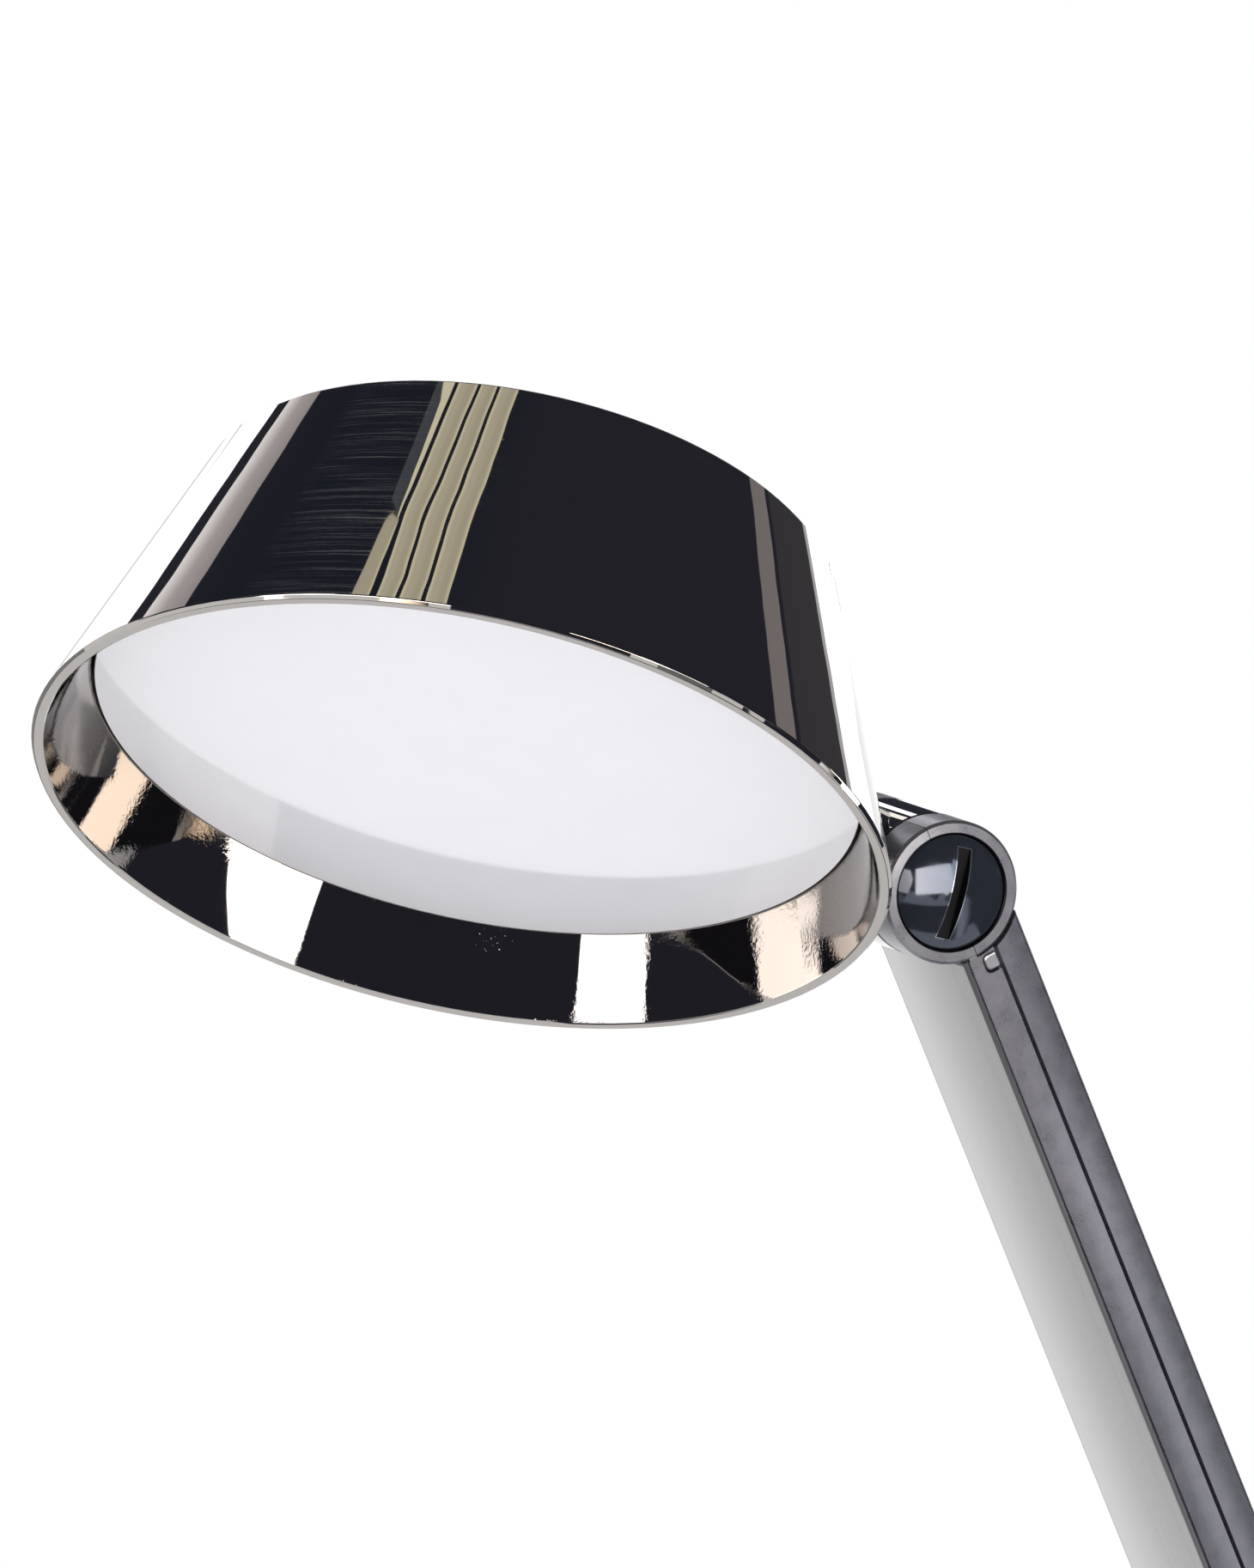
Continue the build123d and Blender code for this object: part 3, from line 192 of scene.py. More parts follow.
brushed, spot = finish("brushed_base")
radius = spot.stretch(1.0, 1.0, 0.0).length()
strokes = turned_lines(spot, BRUSH_ROUND, (radius + spot.axis("Z")) * BRUSH_FINE, 3.0)
coat(brushed, spot, Base_Color=strokes.ramp(BRUSH_LOW, BRUSH_HIGH).blend(*SPUN_STEEL), Metallic=0.85,
     Roughness=strokes.ramp(BRUSH_LOW, BRUSH_HIGH, 0.36, 0.50), Normal=strokes.bump(BRUSH_DEPTH))
dress(brushed, "base_shell")


# Weight inside the base: a raw sand casting of grey iron, with the rough skin of its mould.
# It lies on the bottom plate and keeps the lamp from tipping.
SAND_GRAIN = 700.0
SAND_DEPTH = 0.0003
RAW_IRON = ((0.018, 0.018, 0.02), (0.04, 0.038, 0.036))
iron, spot = finish("iron")
sand = spot.noise(SAND_GRAIN, 4.0)
coat(iron, spot, Base_Color=sand.spread().blend(*RAW_IRON), Metallic=0.6, Roughness=0.7,
     Normal=sand.bump(SAND_DEPTH))
dress(iron, "ballast")


# Electronics inside the base: a green glass-fibre board with black epoxy parts and the push switch on it.
# The lead in a white sheath runs from here through the post and the arm to the head.
def mottled(name, grain, colours, roughness, *nodes):
    """A plain finish whose colour and gloss waver with a fine grain."""
    material, spot = finish(name)
    speckle = spot.noise(grain)
    coat(material, spot, Base_Color=speckle.blend(*colours), Roughness=speckle.spread(*roughness))
    dress(material, *nodes)


SOLDER_MASK = ((0.004, 0.045, 0.012), (0.006, 0.07, 0.02))
EPOXY = ((0.008, 0.008, 0.008), (0.02, 0.02, 0.02))
SHEATH = ((0.66, 0.66, 0.63), (0.74, 0.74, 0.71))
mottled("board_green", 2400.0, SOLDER_MASK, (0.3, 0.42), "driver_board")
mottled("black_parts", 1800.0, EPOXY, (0.4, 0.6), "driver_parts", "push_switch")
mottled("insulation", 600.0, SHEATH, (0.45, 0.6), "base_lead", "arm_lead", "head_lead")


# Screws, nut, washers and springs throughout the lamp: cold-headed or stamped steel, plated with bright zinc.
# The plating has the fine crystals of a zinc bath.
ZINC_CRYSTALS = 900.0
CRYSTAL_DEPTH = 0.00004
ZINC = ((0.42, 0.43, 0.45), (0.58, 0.585, 0.6))
zinc, spot = finish("zinc_steel")
crystals = spot.noise(ZINC_CRYSTALS, 3.0)
coat(zinc, spot, Base_Color=crystals.spread().blend(*ZINC), Metallic=1.0,
     Roughness=crystals.spread(0.25, 0.42), Normal=crystals.bump(CRYSTAL_DEPTH))
dress(zinc, "base_screws", "post_screws", "cover_screws", "unit_screws", "neck_washer", "neck_disc",
      "neck_spring", "neck_nut", "upper_spring_washers", "lower_spring_washers")


# Power button: turned brass, polished and chrome plated, loose in its hole on the switch's plunger.
# Turning leaves faint rings on its flat top, and fingers leave it a little dull.
BUTTON_X = -0.046
TOOL_MARKS = 6000.0
MARK_DEPTH = 0.000004
SMEARS = 160.0
SMEAR_LOW = 0.35
SMEAR_HIGH = 0.7
BUTTON_CHROME = ((0.62, 0.60, 0.57), (0.70, 0.68, 0.65))
polished, spot = finish("bright_button", Matrix.Translation((BUTTON_X, 0.0, 0.0)))
radius = spot.stretch(1.0, 1.0, 0.0).length()
rings = spot.node("ShaderNodeCombineXYZ", None, {"X": radius * TOOL_MARKS}).noise(1.0)
smears = spot.noise(SMEARS, 3.0)
coat(polished, spot, Base_Color=smears.blend(*BUTTON_CHROME), Metallic=1.0,
     Roughness=smears.ramp(SMEAR_LOW, SMEAR_HIGH, 0.05, 0.16), Normal=rings.bump(MARK_DEPTH))
dress(polished, "power_button")


# Arm shells, ear caps and post: die castings, tumbled and lacquered satin grey, so the skin is mottled.
# The ears round the hinges are buffed paler than the long sides, the hooks of the back cover carry a paler
# painted highlight, and the bores of the ears are painted black as painted shade round the screw heads.
HINGE_R = 0.0126
BORE_R = 0.01047
SLIT_BACK = 0.004175
SOFT_EDGE = 0.0001
MOTTLE = 1500.0
MOTTLE_DEPTH = 0.000006
MOTTLE_SHARE = 0.3
CLOUD = 260.0
CLOUD_SHARE = 0.7
SATIN_ROUGHNESS = 0.26
SATIN_SPREAD = 0.05
LACQUER = ((0.205, 0.205, 0.238), (0.265, 0.264, 0.304))
BUFFED_LACQUER = ((0.225, 0.226, 0.252), (0.30, 0.301, 0.33))
BORE_SHADE = (0.012, 0.012, 0.014)
HOOK_HIGHLIGHT = (0.42, 0.42, 0.45)
joints = {joint["name"]: joint for joint in frame["joints"]}
lower_hinge = Vector(joints["arm_tilt"]["pos_m"])
upper_hinge = Vector(joints["head_tilt"]["pos_m"])
ARM_LENGTH = (upper_hinge - lower_hinge).length
lean = (upper_hinge - lower_hinge).normalized()
behind = Vector((lean.z, 0.0, -lean.x))
arm_place = Matrix((behind, Vector((0.0, 1.0, 0.0)), lean)).transposed().to_4x4()
arm_place.translation = lower_hinge


def from_hinge(spot):
    """Distance of a spot in the arm's frame from the nearer hinge axis."""
    lower = spot.stretch(1.0, 0.0, 1.0).length()
    upper = spot.vector("SUBTRACT", (0.0, 0.0, ARM_LENGTH)).stretch(1.0, 0.0, 1.0).length()
    return spot.math("MINIMUM", lower, upper)


def satin(name, hooks):
    """Satin lacquer, paler round the hinges, with painted shade in the ear bores and a painted highlight on
    the cover's hooks.
    """
    material, spot = finish(name, arm_place)
    near = from_hinge(spot)
    buffed = near.ramp(HINGE_R - SOFT_EDGE, HINGE_R + 2 * SOFT_EDGE, 1.0, 0.0)
    # Painted shade: the bores of the ears are painted black.
    bore_shade = near.ramp(BORE_R, BORE_R + SOFT_EDGE, 1.0, 0.0)
    mottle = spot.noise(MOTTLE, 3.0)
    cloud = spot.noise(CLOUD, 3.0)
    skin = (mottle * MOTTLE_SHARE + cloud * CLOUD_SHARE).ramp(BRUSH_LOW, BRUSH_HIGH)
    colour = buffed.blend(skin.blend(*LACQUER), skin.blend(*BUFFED_LACQUER))
    colour = bore_shade.blend(colour, BORE_SHADE)
    if hooks:
        # Painted highlight: the hooks of the back cover are painted a paler grey.
        ahead = spot.axis("X").ramp(SLIT_BACK - 4 * SOFT_EDGE, SLIT_BACK - 2 * SOFT_EDGE, 1.0, 0.0)
        colour = ahead.blend(colour, HOOK_HIGHLIGHT)
    coat(material, spot, Base_Color=colour, Metallic=0.8, Roughness=skin * SATIN_SPREAD + SATIN_ROUGHNESS,
         Normal=mottle.bump(MOTTLE_DEPTH))
    return material


dress(satin("satin_grey", False), "arm_front_shell", "upper_ear_caps", "lower_ear_caps", "base_post")
dress(satin("satin_cover", True), "arm_back_cover")


# Face plate: rolled aluminium, slightly crowned, brushed along its length and anodised silver.
# It is bonded to the front of the arm and ends at the ears; its side edges and its end are painted darker as
# painted shade.
PLATE_BEVEL = 0.00035
PLATE_SHADE_WIDTH = 0.0005
PLATE_GAP = 0.0008
PLATE_STROKES = (2600.0, 2600.0, 14.0)
STROKE_DEPTH = 0.000008
SILVER = ((0.70, 0.70, 0.71), (0.76, 0.76, 0.77))
EDGE_SHADE = (0.15, 0.148, 0.155)
silver, spot = finish("bright_plate", arm_place)
strokes = spot.stretch(*PLATE_STROKES).noise(1.0)
across = spot.math("ABSOLUTE", spot.axis("Y"))
crown_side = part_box("arm_face_plate")[1][1] - PLATE_BEVEL
end_start = HINGE_R + PLATE_GAP
# Painted shade: a dark band along the plate's side edges and at its end by the ears.
end_shade = from_hinge(spot).ramp(end_start, end_start + 4 * SOFT_EDGE, 1.0, 0.0)
edge = spot.math("MAXIMUM", across.ramp(crown_side - PLATE_SHADE_WIDTH, crown_side), end_shade)
face = strokes.ramp(BRUSH_LOW, BRUSH_HIGH).blend(*SILVER)
coat(silver, spot, Base_Color=edge.blend(face, EDGE_SHADE), Metallic=1.0,
     Roughness=strokes.ramp(BRUSH_LOW, BRUSH_HIGH, 0.27, 0.33), Normal=strokes.bump(STROKE_DEPTH))
dress(silver, "arm_face_plate")


# Hinge screws and sleeve nuts: turned steel with a domed head and a coin slot, plated glossy blue-black.
# The slot is left dull as milled and painted near black as painted shade, and a painted highlight runs along
# its edges.
SLOT_TURN = math.radians(38.2)
SLOT_HALF_LENGTH = 0.00803
SLOT_HALF_WIDTH = 0.00127
SLOT_DULL = 0.6
SLOT_HIGHLIGHT_WIDTH = 0.00014
HAZE = 300.0
BLUE_BLACK = ((0.066, 0.076, 0.100), (0.084, 0.096, 0.125))
SLOT_EDGE_HIGHLIGHT = (0.34, 0.36, 0.40)
SLOT_SHADE = (0.006, 0.006, 0.008)
nickel, spot = finish("black_nickel", arm_place)
depth, side, length = [spot.axis(name) for name in "XYZ"]
length = length - spot.math("GREATER_THAN", length, ARM_LENGTH / 2) * ARM_LENGTH
way = 1.0 - spot.math("GREATER_THAN", side, 0.0) * 2.0
along = spot.math("ABSOLUTE", depth * way * math.sin(SLOT_TURN) + length * math.cos(SLOT_TURN))
across = spot.math("ABSOLUTE", depth * math.cos(SLOT_TURN) - length * way * math.sin(SLOT_TURN))


def slot_area(grow):
    """1 inside the coin slot, grown on all sides."""
    inside = spot.math("LESS_THAN", along, SLOT_HALF_LENGTH + grow)
    return inside * spot.math("LESS_THAN", across, SLOT_HALF_WIDTH + grow)


slot = slot_area(0.0)
haze = spot.noise(HAZE, 3.0)
# Painted highlight: a bright band along the edges of the slot.
colour = slot_area(SLOT_HIGHLIGHT_WIDTH).blend(haze.blend(*BLUE_BLACK), SLOT_EDGE_HIGHLIGHT)
gloss = haze.ramp(SMEAR_LOW, SMEAR_HIGH, 0.08, 0.13)
# Painted shade: the inside of the slot is near black.
coat(nickel, spot, Base_Color=slot.blend(colour, SLOT_SHADE), Metallic=0.75,
     Roughness=spot.math("MAXIMUM", slot * SLOT_DULL, gloss))
dress(nickel, "upper_hinge_screw", "upper_sleeve_nut", "lower_hinge_screw", "lower_sleeve_nut")


# Hinge washers, neck bush and terminal block: moulded black nylon, a little dull.
# The washers and the bush are slipped on dry and let the hinges and the neck turn without scratching.
BLACK_NYLON = ((0.009, 0.009, 0.01), (0.016, 0.016, 0.018))
mottled("nylon", 800.0, BLACK_NYLON, (0.45, 0.6),
        "upper_hinge_washers", "lower_hinge_washers", "neck_bush", "terminal_block")


# Shade, neck saddle and knuckle: drawn and cast metal, polished and plated with dark chrome.
# The plate is a mirror with fine polishing lines round the cone, most of them in one rubbed patch,
# a few specks, and the slight waviness of thin metal; inside the cone it is painted darker, as painted shade.
SHADE_ROLL = math.radians(27.4)
NECK_REACH = 0.08778
NECK_HEIGHT = 0.0283
MOUTH_R = 0.075
WALL = 0.00244
WALL_SLOPE = math.radians(19.85)
LIP_END = 0.0002
WALL_START = 0.0005
MIRROR_ROUGHNESS = 0.02
LINES_ROUND = 2.2
LINES_FINE = 2900.0
LINES_SLANT = 1.4
LINE_LOW = 0.53
LINE_HIGH = 0.80
LINE_PALE = 0.18
LINE_ROUGHNESS = 0.10
FAINT_LINES = 0.12
RUBBED_TURN = math.radians(-144.5)
RUBBED_EDGE = 0.987
RUBBED_FULL = 0.994
PATCHES = 30.0
INNER_GRAIN = 1300.0
GRAIN_DEPTH = 0.000016
SPECKS = 85.0
SPECK_IN = 0.012
SPECK_OUT = 0.022
SPECK_ROUGHNESS = 0.5
WAVES = 60.0
WAVE_DEPTH = 0.00003
OUTER_CHROME = (0.48, 0.456, 0.436)
SHADED_INNER_CHROME = (0.40, 0.373, 0.356)
SPECK_GREY = (0.36, 0.345, 0.33)
neck = Vector(joints["head_roll"]["axis"])
over = Vector((neck.z, 0.0, -neck.x))
shade_up = over * math.cos(SHADE_ROLL) + Vector((0.0, 1.0, 0.0)) * math.sin(SHADE_ROLL)
mouth = upper_hinge + neck * NECK_REACH - shade_up * NECK_HEIGHT
shade_place = Matrix((-neck, shade_up.cross(-neck), shade_up)).transposed().to_4x4()
shade_place.translation = mouth
chrome, spot = finish("mirror_chrome", shade_place)
flat = spot.stretch(1.0, 1.0, 0.0)
radius = flat.length()
height = spot.axis("Z")
outside = (radius + height * math.tan(WALL_SLOPE)).ramp(MOUTH_R - WALL * 0.7, MOUTH_R - WALL * 0.4)
inside = (1.0 - outside) * height.ramp(LIP_END, WALL_START)
patches = spot.noise(PATCHES)
lines = turned_lines(spot, LINES_ROUND, (height * LINES_SLANT - radius) * LINES_FINE, 2.0)
rubbed_side = (math.cos(RUBBED_TURN), math.sin(RUBBED_TURN), 0.0)
rubbed = flat.vector("NORMALIZE").vector("DOT_PRODUCT", rubbed_side, "Value").ramp(RUBBED_EDGE, RUBBED_FULL)
worn = patches.ramp(0.50, 0.70) * FAINT_LINES + rubbed
scratched = lines.ramp(LINE_LOW, LINE_HIGH) * worn * outside
grain = spot.noise(INNER_GRAIN, 3.0) * inside * patches.ramp(0.40, 0.55)
dots = spot.node("ShaderNodeTexVoronoi", None, {"Vector": spot, "Scale": SPECKS}, "Distance")
specks = dots.ramp(SPECK_IN, SPECK_OUT, 1.0, 0.0)
wave = spot.noise(WAVES, 1.0).bump(WAVE_DEPTH)
# Painted shade: the inside of the cone is a darker copy of the same chrome.
plating = inside.blend(OUTER_CHROME, SHADED_INNER_CHROME)
dulled = spot.math("MAXIMUM", scratched * LINE_ROUGHNESS, specks * SPECK_ROUGHNESS)
coat(chrome, spot, Base_Color=specks.blend(plating, SPECK_GREY), Metallic=1.0 - scratched * LINE_PALE,
     Roughness=dulled + MIRROR_ROUGHNESS, Normal=grain.bump(GRAIN_DEPTH, wave))
dress(chrome, "shade_shell", "neck_saddle", "tilt_knuckle")


# Diffuser: a flat disc of opal acrylic, milk white with a faint cool tint and a glossy face.
# It is turned from cast sheet, with a bevelled edge, and wedged into the cone below the reflector tray.
MILK = 90.0
OPAL = ((0.955, 0.95, 0.985), (0.97, 0.965, 1.0))
ACRYLIC_IOR = 1.6
opal, spot = finish("opal", shade_place)
milk = spot.noise(MILK, 3.0)
coat(opal, spot, Base_Color=milk.spread().blend(*OPAL), Roughness=milk.spread(0.06, 0.09), IOR=ACRYLIC_IOR,
     Coat_Weight=1.0, Coat_IOR=ACRYLIC_IOR, Coat_Roughness=0.06)
dress(opal, "diffuser")


# Light unit behind the diffuser: a moulded white reflector tray, a white board with light chips under
# yellow resin, and a cast aluminium heat spreader. Screws go through board and spreader into the shade.
TRAY_WHITE = ((0.78, 0.78, 0.75), (0.84, 0.84, 0.81))
BOARD_WHITE = ((0.70, 0.70, 0.67), (0.77, 0.77, 0.74))
RESIN_YELLOW = ((0.80, 0.60, 0.08), (0.88, 0.70, 0.14))
mottled("white_plastic", 500.0, TRAY_WHITE, (0.4, 0.55), "reflector_tray")
mottled("board_white", 900.0, BOARD_WHITE, (0.35, 0.5), "led_board")
mottled("phosphor", 2500.0, RESIN_YELLOW, (0.2, 0.35), "led_chips")

SPREADER_STROKES = (1800.0, 20.0, 1800.0)
ALUMINIUM = ((0.46, 0.47, 0.48), (0.56, 0.57, 0.58))
spreader, spot = finish("bare_aluminium")
strokes = spot.stretch(*SPREADER_STROKES).noise(1.0)
coat(spreader, spot, Base_Color=strokes.blend(*ALUMINIUM), Metallic=1.0,
     Roughness=strokes.ramp(BRUSH_LOW, BRUSH_HIGH, 0.32, 0.48))
dress(spreader, "heat_spreader")


# Floor: a round of plain pale paper under the base.
# Its rim fades out into the white background, so that no edge shows.
FLOOR_R = 0.9
FLOOR_FADE = 0.45
FLOOR_CLEAR = 0.882
FLOOR_SIDES = 96
PAPER = (0.86, 0.86, 0.86)
floor_mesh = bpy.data.meshes.new("floor")
turns = [math.tau * i / FLOOR_SIDES for i in range(FLOOR_SIDES)]
rim = [(FLOOR_R * math.cos(turn), FLOOR_R * math.sin(turn), 0.0) for turn in turns]
floor_mesh.from_pydata(rim, [], [tuple(range(FLOOR_SIDES))])
floor = bpy.data.objects.new("floor", floor_mesh)
bpy.context.scene.collection.objects.link(floor)
paper, spot = finish("floor_paper")
fade = spot.length().ramp(FLOOR_FADE, FLOOR_CLEAR)
matt = spot.node("ShaderNodeBsdfDiffuse", None, {"Color": PAPER})
clear = spot.node("ShaderNodeBsdfTransparent")
fading = spot.node("ShaderNodeMixShader", None, {"Fac": fade, "Shader": matt, "Shader_001": clear})
spot.node("ShaderNodeOutputMaterial", None, {"Surface": fading})
floor_mesh.materials.append(paper)


# Studio cards that the chrome mirrors: a dark canopy over the head, dark screens in front, and lit strips.
# Only reflections see them. They lie on a globe about the shade's mouth: each has two turns round the shade's
# axis, counted in degrees from the camera's side, two tilts from that axis, and glows from its first turn on.
CARD_R = 3.0
CARD_STEP = 3.0
LEAST_COLUMNS = 12
LEAST_ROWS = 3
STRIP_GAP = 0.05
EDGE_GAP = 0.1
HINGE_GAP = 0.15
WHITE = (2.1, 2.15, 2.2)
WINDOW = (3.1, 3.1, 3.1)
BRIGHT = (6.4, 6.3, 6.1)
CREAM = (6.1, 5.5, 4.7)
AMBER = (4.5, 3.7, 2.8)
FACET = (1.6, 1.55, 1.5)
DARK = (0.030, 0.031, 0.044)
BLUE_DARK = (0.020, 0.024, 0.037)
DIM = (0.062, 0.060, 0.068)
WARM_GREY = (0.30, 0.275, 0.28)
SCREEN_GREY = (0.25, 0.25, 0.25)
EDGE_GREY = (0.72, 0.72, 0.74)
CROWN_GREY = (0.70, 0.70, 0.72)
LINE_GREY = (0.58, 0.58, 0.59)
FADING_GREY = ((1.25, 1.20, 1.22), (0.62, 0.57, 0.58), (0.50, 0.46, 0.46))
to_camera = Vector((-0.39236, -0.907981, 0.14705))
facing = (to_camera - shade_up * to_camera.dot(shade_up)).normalized()
beside = shade_up.cross(facing)


def card(name, points, columns, glows):
    """A glowing card from rows of points, its glows at even steps across it."""
    if len(glows) == 1:
        glows = glows * 2
    starts = [k for k in range(len(points) - columns) if (k + 1) % columns]
    faces = [(k, k + 1, k + columns + 1, k + columns) for k in starts]
    mesh = bpy.data.meshes.new(name)
    mesh.from_pydata(points, [], faces)
    tint = mesh.color_attributes.new("glow", "FLOAT_COLOR", "POINT")
    for k in range(len(points)):
        place = (k % columns) / (columns - 1) * (len(glows) - 1)
        left = min(int(place), len(glows) - 2)
        tint.data[k].color = (*Vector(glows[left]).lerp(Vector(glows[left + 1]), place - left), 1.0)
    material, spot = finish(name)
    colour = spot.node("ShaderNodeAttribute", {"attribute_name": "glow"}, None, "Color")
    light = spot.node("ShaderNodeEmission", None, {"Color": colour})
    spot.node("ShaderNodeOutputMaterial", None, {"Surface": light})
    mesh.materials.append(material)
    made = bpy.data.objects.new(name, mesh)
    made.visible_camera = False
    made.visible_diffuse = False
    made.visible_shadow = False
    bpy.context.scene.collection.objects.link(made)


def on_globe(turn, tilt, size):
    """A point of a globe about the shade's mouth."""
    turn, tilt = math.radians(turn), math.radians(tilt)
    side = facing * math.cos(turn) + beside * math.sin(turn)
    return mouth + (shade_up * math.cos(tilt) + side * math.sin(tilt)) * size


def globe_card(name, turns, tilts, *glows, nearer=0.0):
    """A patch of the globe between two turns and two tilts, or nearer to the shade than the globe."""
    columns = int((turns[1] - turns[0]) / CARD_STEP) + LEAST_COLUMNS
    rows = int((tilts[1] - tilts[0]) / CARD_STEP) + LEAST_ROWS
    points = []
    for j in range(rows):
        tilt = tilts[0] + (tilts[1] - tilts[0]) * j / (rows - 1)
        for i in range(columns):
            turn = turns[0] + (turns[1] - turns[0]) * i / (columns - 1)
            points.append(on_globe(turn, tilt, CARD_R - nearer))
    card(name, points, columns, glows)


globe_card("canopy", (-137.0, 136.0), (1.0, 63.0), DARK, BLUE_DARK, BLUE_DARK, DARK, DARK, DARK, DARK)
globe_card("back_light_left", (-180.0, -137.0), (49.0, 66.0), WHITE)
globe_card("back_light_corner", (-147.0, -137.0), (38.0, 49.5), WHITE)
globe_card("back_light_right", (143.0, 180.0), (40.0, 66.0), WHITE)
globe_card("edge_left", (-180.0, -167.0), (56.0, 67.0), EDGE_GREY, nearer=EDGE_GAP)
globe_card("edge_right", (171.0, 180.0), (57.0, 67.0), EDGE_GREY, nearer=EDGE_GAP)
globe_card("crown_edge_left", (-180.0, -156.0), (49.5, 54.0), CROWN_GREY, nearer=EDGE_GAP)
globe_card("grey_strip_left", (-131.0, -116.5), (30.0, 63.0), *FADING_GREY, nearer=STRIP_GAP)
globe_card("grey_strip_right", (109.0, 117.0), (30.0, 63.0), WARM_GREY, nearer=STRIP_GAP)
globe_card("dim_strip_right", (119.0, 140.5), (30.0, 63.0), DIM, nearer=STRIP_GAP)
globe_card("edge_strip_right", (140.5, 143.0), (30.0, 63.0), LINE_GREY, nearer=STRIP_GAP)
globe_card("front_screen", (-98.0, 100.0), (63.0, 106.0), DARK)
globe_card("front_screen_middle", (-64.0, 60.0), (106.0, 119.0), DARK)
globe_card("front_screen_low", (-14.0, 36.0), (119.0, 130.0), DARK)
globe_card("side_screen", (100.0, 150.0), (66.0, 92.0), DARK)
globe_card("arm_screen", (44.0, 60.0), (119.0, 124.5), SCREEN_GREY)
globe_card("front_light_left", (-61.0, -41.0), (80.0, 104.0), WINDOW, nearer=STRIP_GAP)
globe_card("front_light_left_low", (-64.0, -13.0), (105.5, 119.0), BRIGHT, nearer=STRIP_GAP)
globe_card("front_light_right", (35.5, 54.5), (80.0, 104.0), WINDOW, nearer=STRIP_GAP)
globe_card("front_light_right_low", (18.0, 45.0), (105.5, 119.0), CREAM, nearer=STRIP_GAP)
globe_card("low_patch", (-40.0, -20.0), (124.0, 131.0), DARK, AMBER, DARK, nearer=STRIP_GAP)
globe_card("stem_shade", (164.0, 180.0), (41.0, 56.0), DARK, nearer=HINGE_GAP)
globe_card("hinge_shade", (-180.0, -171.0), (38.0, 49.0), DARK, nearer=HINGE_GAP)
globe_card("hinge_light", (-171.0, -164.5), (34.0, 44.0), WHITE, nearer=HINGE_GAP)
globe_card("hinge_line", (-164.5, -160.0), (33.0, 43.0), DARK, nearer=HINGE_GAP)
globe_card("hinge_facet", (-160.0, -153.0), (32.0, 41.0), FACET, nearer=HINGE_GAP)
globe_card("hinge_dark", (-153.0, -138.0), (30.0, 41.0), DARK, nearer=HINGE_GAP)


# Slatted panel close above the head: three painted slats that lean to a knee and bend back, with dark seams.
# Beside them stand a pale batten, its slate-grey shadow and the panel's foot, all seen only in the shade.
# Levels are tilts from the shade's axis, edges and seams are turns round it, in degrees as on the globe.
SLAT_R = 0.45
SLAT_COLUMNS = 16
SLATS = 3
SLAT_RISE = 0.6
HALF_SEAM = 0.75
TOP, HEAD, KNEE, FOOT, END = 23.0, 27.2, 31.2, 32.6, 37.0
HEAD_SEAMS = (-45.0, -34.5, -25.5, -15.0)
KNEE_SEAMS = (-45.0, -37.0, -28.0, -18.5)
FOOT_SEAMS = (-43.5, -35.5, -27.0, -18.5)
LEVELS = ((TOP, HEAD_SEAMS), (HEAD, HEAD_SEAMS), (KNEE, KNEE_SEAMS), (FOOT, FOOT_SEAMS), (END, FOOT_SEAMS))
BATTEN = ((TOP, -52.5, -46.0), (28.0, -52.5, -46.0), (28.5, -49.0, -46.0), (31.5, -46.5, -46.0))
BATTEN_SHADOW = ((28.0, -54.0, -52.5), (28.5, -54.0, -49.0), (31.5, -51.5, -46.5))
SHOULDER_TOP = 31.5
SHOULDER_DROP = 0.9
SHOULDER_STEPS = 6
FOOT_LEFT = -50.5
FOOT_TIP = -46.0
FOOT_RIGHT = (-45.5, -44.5)
EDGE = (1.05, 1.0, 0.72)
KHAKI = (0.66, 0.61, 0.46)
PALE_KHAKI = (0.74, 0.685, 0.525)
SLATE = (0.088, 0.100, 0.118)


def slat(name, rows, *glows, rise=(0.0, 0.0)):
    """A slat from rows of a level and two edges; either edge may hang higher than the level by its rise."""
    points = []
    for level, left, right in rows:
        for i in range(SLAT_COLUMNS):
            share = i / (SLAT_COLUMNS - 1)
            tilt = level - rise[0] - (rise[1] - rise[0]) * share
            points.append(on_globe(left + (right - left) * share, tilt, SLAT_R))
    card(name, points, SLAT_COLUMNS, glows)


for number in range(SLATS):
    rows = [(level, seams[number] + HALF_SEAM, seams[number + 1] - HALF_SEAM) for level, seams in LEVELS]
    slat(f"slat_{number}", rows, EDGE, PALE_KHAKI, PALE_KHAKI, KHAKI, KHAKI, EDGE,
         rise=(number * SLAT_RISE, (number + 1) * SLAT_RISE))
rows = []
for step in range(SHOULDER_STEPS):
    drop = step / (SHOULDER_STEPS - 1)
    bulge = math.sqrt(1 - (1 - drop) ** 2)
    left = FOOT_TIP + (FOOT_LEFT - FOOT_TIP) * bulge
    rows.append((SHOULDER_TOP + SHOULDER_DROP * drop, left, FOOT_RIGHT[0]))
rows.append((END, FOOT_LEFT, FOOT_RIGHT[1]))
slat("panel_foot", rows, *(KHAKI,) * 5, EDGE)
slat("batten", BATTEN, EDGE)
slat("batten_shadow", BATTEN_SHADOW, SLATE)


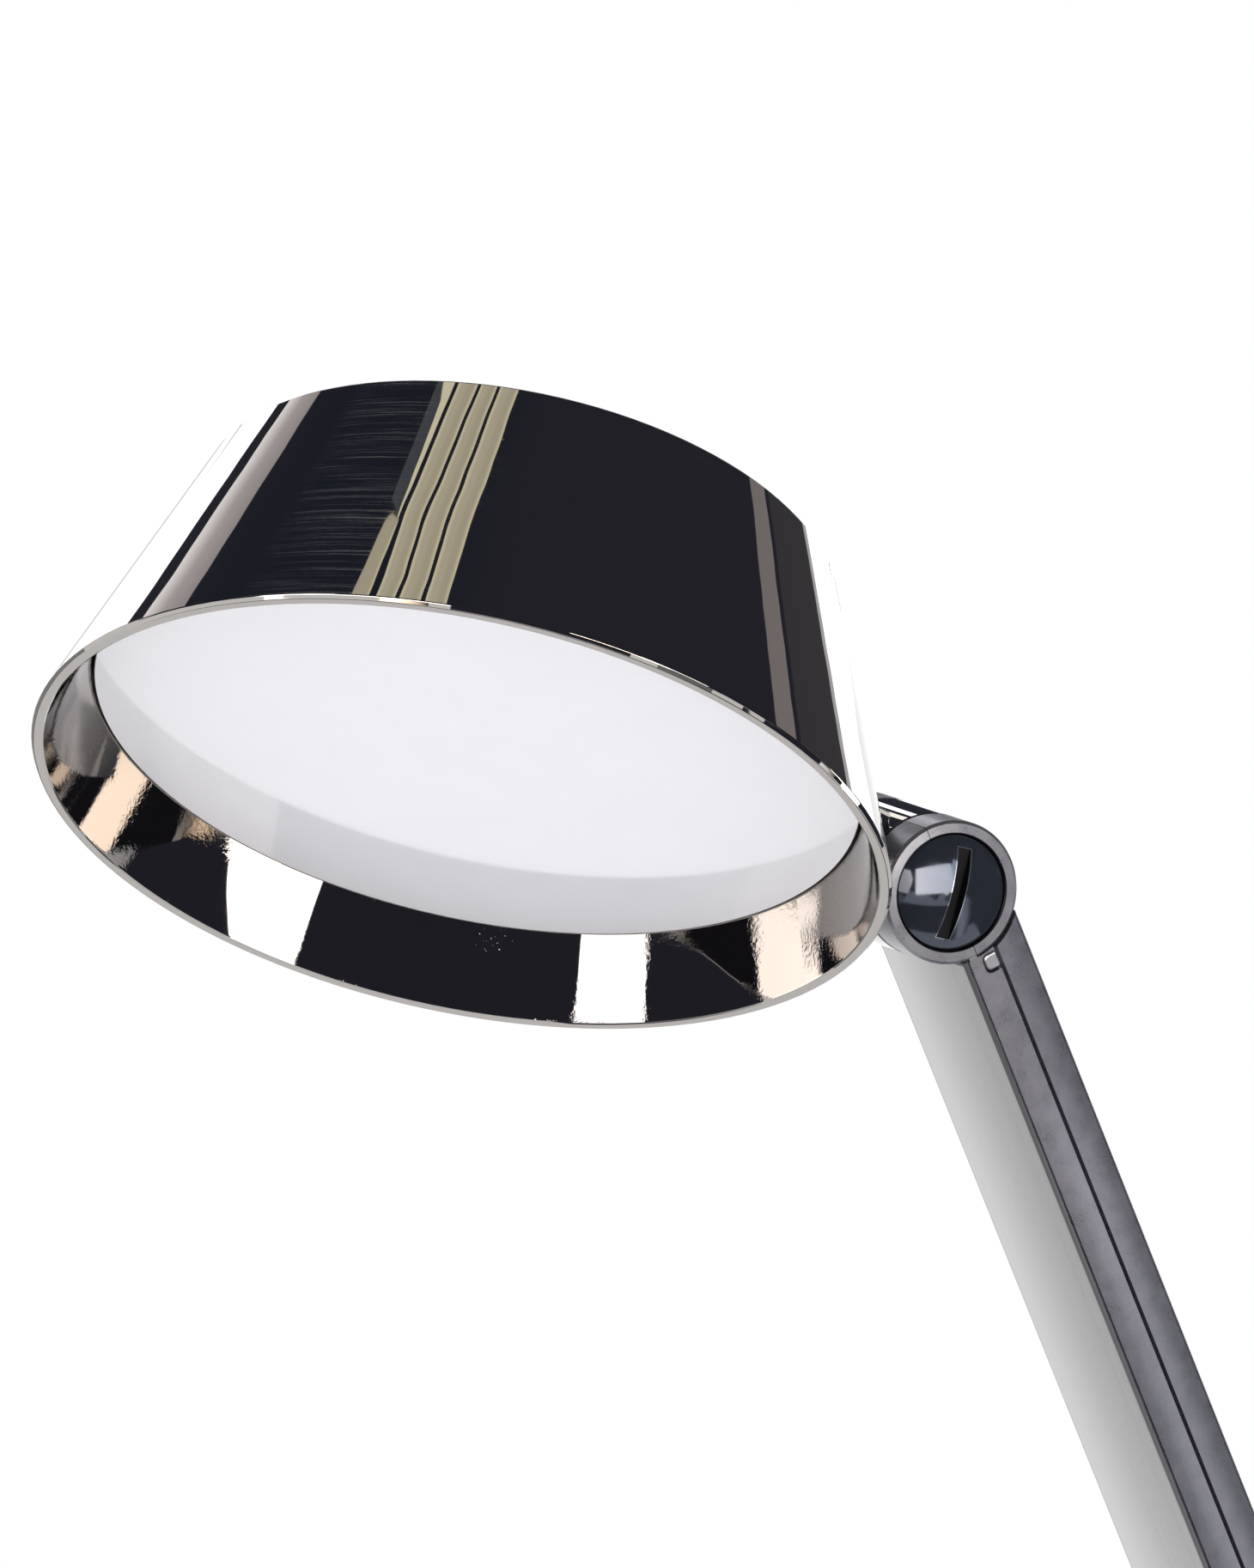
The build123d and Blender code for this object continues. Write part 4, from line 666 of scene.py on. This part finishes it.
# Flat boards near the lamp: a small soft box before the hinge, dark flags over the floor in front of it,
# a graded panel beside the arm that its side mirrors, and one behind the arm that its face plate mirrors.
# Each has a corner and two edges, and its glows run along the first edge.
FLAG_HEIGHT = 0.012
FLAG_GREY = (0.7, 0.7, 0.7)
BOX_WARM = (8.6, 7.8, 6.8)
BOX_PALE = (5.6, 5.3, 5.0)
ARM_HALF_WIDTH = 0.0187
PANEL_AWAY = 0.15
PANEL_BEFORE = 0.085
PANEL_WIDTH = 0.13
PANEL_LENGTH = 0.255
PANEL_GLOW = (0.12, 0.12, 0.12, 0.12, 0.12, 0.15, 0.3, 0.9, 1.35, 1.45, 1.2, 1.0, 0.5, 0.2)
PLATE_BOARD_LENGTH = 0.36
PLATE_GLOW = (0.34,) * 6 + (0.75,) + (1.15,) * 6


def board(name, corner, width, height, *glows):
    """A flat card from a corner and two edges."""
    corner, width, height = Vector(corner), Vector(width), Vector(height)
    columns = len(glows)
    points = [corner + width * (i / (columns - 1)) + height * j for j in range(2) for i in range(columns)]
    card(name, points, columns, glows)


def neutral(levels):
    """Glows without a tint."""
    return [(level, level, level) for level in levels]


board("hinge_box", (-0.097, -0.075, 0.314), (0.052, 0.0, 0.003), (0.0, 0.0, 0.037), BOX_WARM, BOX_PALE)
board("floor_flag", (-0.80, -0.85, FLAG_HEIGHT), (1.15, 0.0, 0.0), (0.0, 0.61, 0.0), DARK, DARK)
board("floor_flag_side", (-0.42, -0.24, FLAG_HEIGHT), (0.0, 0.36, 0.0), (-0.38, 0.0, 0.0),
      DARK, DARK, SCREEN_GREY, FLAG_GREY)
board("floor_flag_right", (0.30, -0.70, FLAG_HEIGHT), (0.80, 0.0, 0.0), (0.0, 0.75, 0.0), DARK, DARK)
mirrored = Vector((-to_camera.x, to_camera.y, -to_camera.z))
panel_middle = lower_hinge + Vector((0.0, -ARM_HALF_WIDTH, 0.0)) + mirrored * PANEL_AWAY
board("arm_panel", panel_middle - behind * PANEL_BEFORE, behind * PANEL_WIDTH, lean * PANEL_LENGTH,
      *neutral(PANEL_GLOW))
board("plate_board", (-0.35, 0.25, 0.002), (0.66, 0.0, 0.0), lean * PLATE_BOARD_LENGTH, *neutral(PLATE_GLOW))


# Light and background: a white room that camera, mirrors and clear pieces see at full white,
# and one large soft disc lamp over the front left that reflections don't see.
ROOM_WHITE = (1.0, 1.0, 1.0)
ROOM_FILL = (0.985, 0.985, 1.0)
FILL_STRENGTH = 1.03
LAMP_PLACE = Vector((-1.3, -1.1, 1.9))
LAMP_AIM = Vector((-0.05, 0.0, 0.25))
LAMP_SIZE = 1.4
LAMP_POWER = 5.0
world = bpy.data.worlds.new("studio")
bpy.context.scene.world = world
world.use_nodes = True
world.node_tree.nodes.clear()
room = Feed(world.node_tree)
rays = ("Is Camera Ray", "Is Glossy Ray", "Is Transmission Ray")
direct, mirror, through = [room.node("ShaderNodeLightPath", None, None, ray) for ray in rays]
shown = room.math("MINIMUM", direct + mirror + through, 1.0)
white = room.node("ShaderNodeBackground", None, {"Color": ROOM_WHITE, "Strength": 1.0})
fill = room.node("ShaderNodeBackground", None, {"Color": ROOM_FILL, "Strength": FILL_STRENGTH})
both = room.node("ShaderNodeMixShader", None, {"Fac": shown, "Shader": fill, "Shader_001": white})
room.node("ShaderNodeOutputWorld", None, {"Surface": both})

key = bpy.data.lights.new("key", "AREA")
key.shape = "DISK"
key.size = LAMP_SIZE
key.energy = LAMP_POWER
soft_lamp = bpy.data.objects.new("key", key)
soft_lamp.location = LAMP_PLACE
soft_lamp.rotation_euler = (LAMP_AIM - LAMP_PLACE).to_track_quat("-Z", "Y").to_euler()
soft_lamp.visible_glossy = False
bpy.context.scene.collection.objects.link(soft_lamp)


# Camera: a long lens from the front left, a little above the head, looking slightly down.
# Only the head and the upper part of the arm are in its frame.
CAMERA_PLACE = (-0.98694, -2.01623, 0.66703)
FOCAL_LENGTH = 295.73
SENSOR_WIDTH = 36.0
FARTHEST = 100.0
lens = bpy.data.cameras.new("camera")
lens.lens = FOCAL_LENGTH
lens.sensor_width = SENSOR_WIDTH
lens.clip_end = FARTHEST
camera = bpy.data.objects.new("camera", lens)
camera.location = CAMERA_PLACE
camera.rotation_euler = (-to_camera).to_track_quat("-Z", "Y").to_euler()
bpy.context.scene.collection.objects.link(camera)
bpy.context.scene.camera = camera
bpy.context.scene.view_settings.view_transform = "Standard"
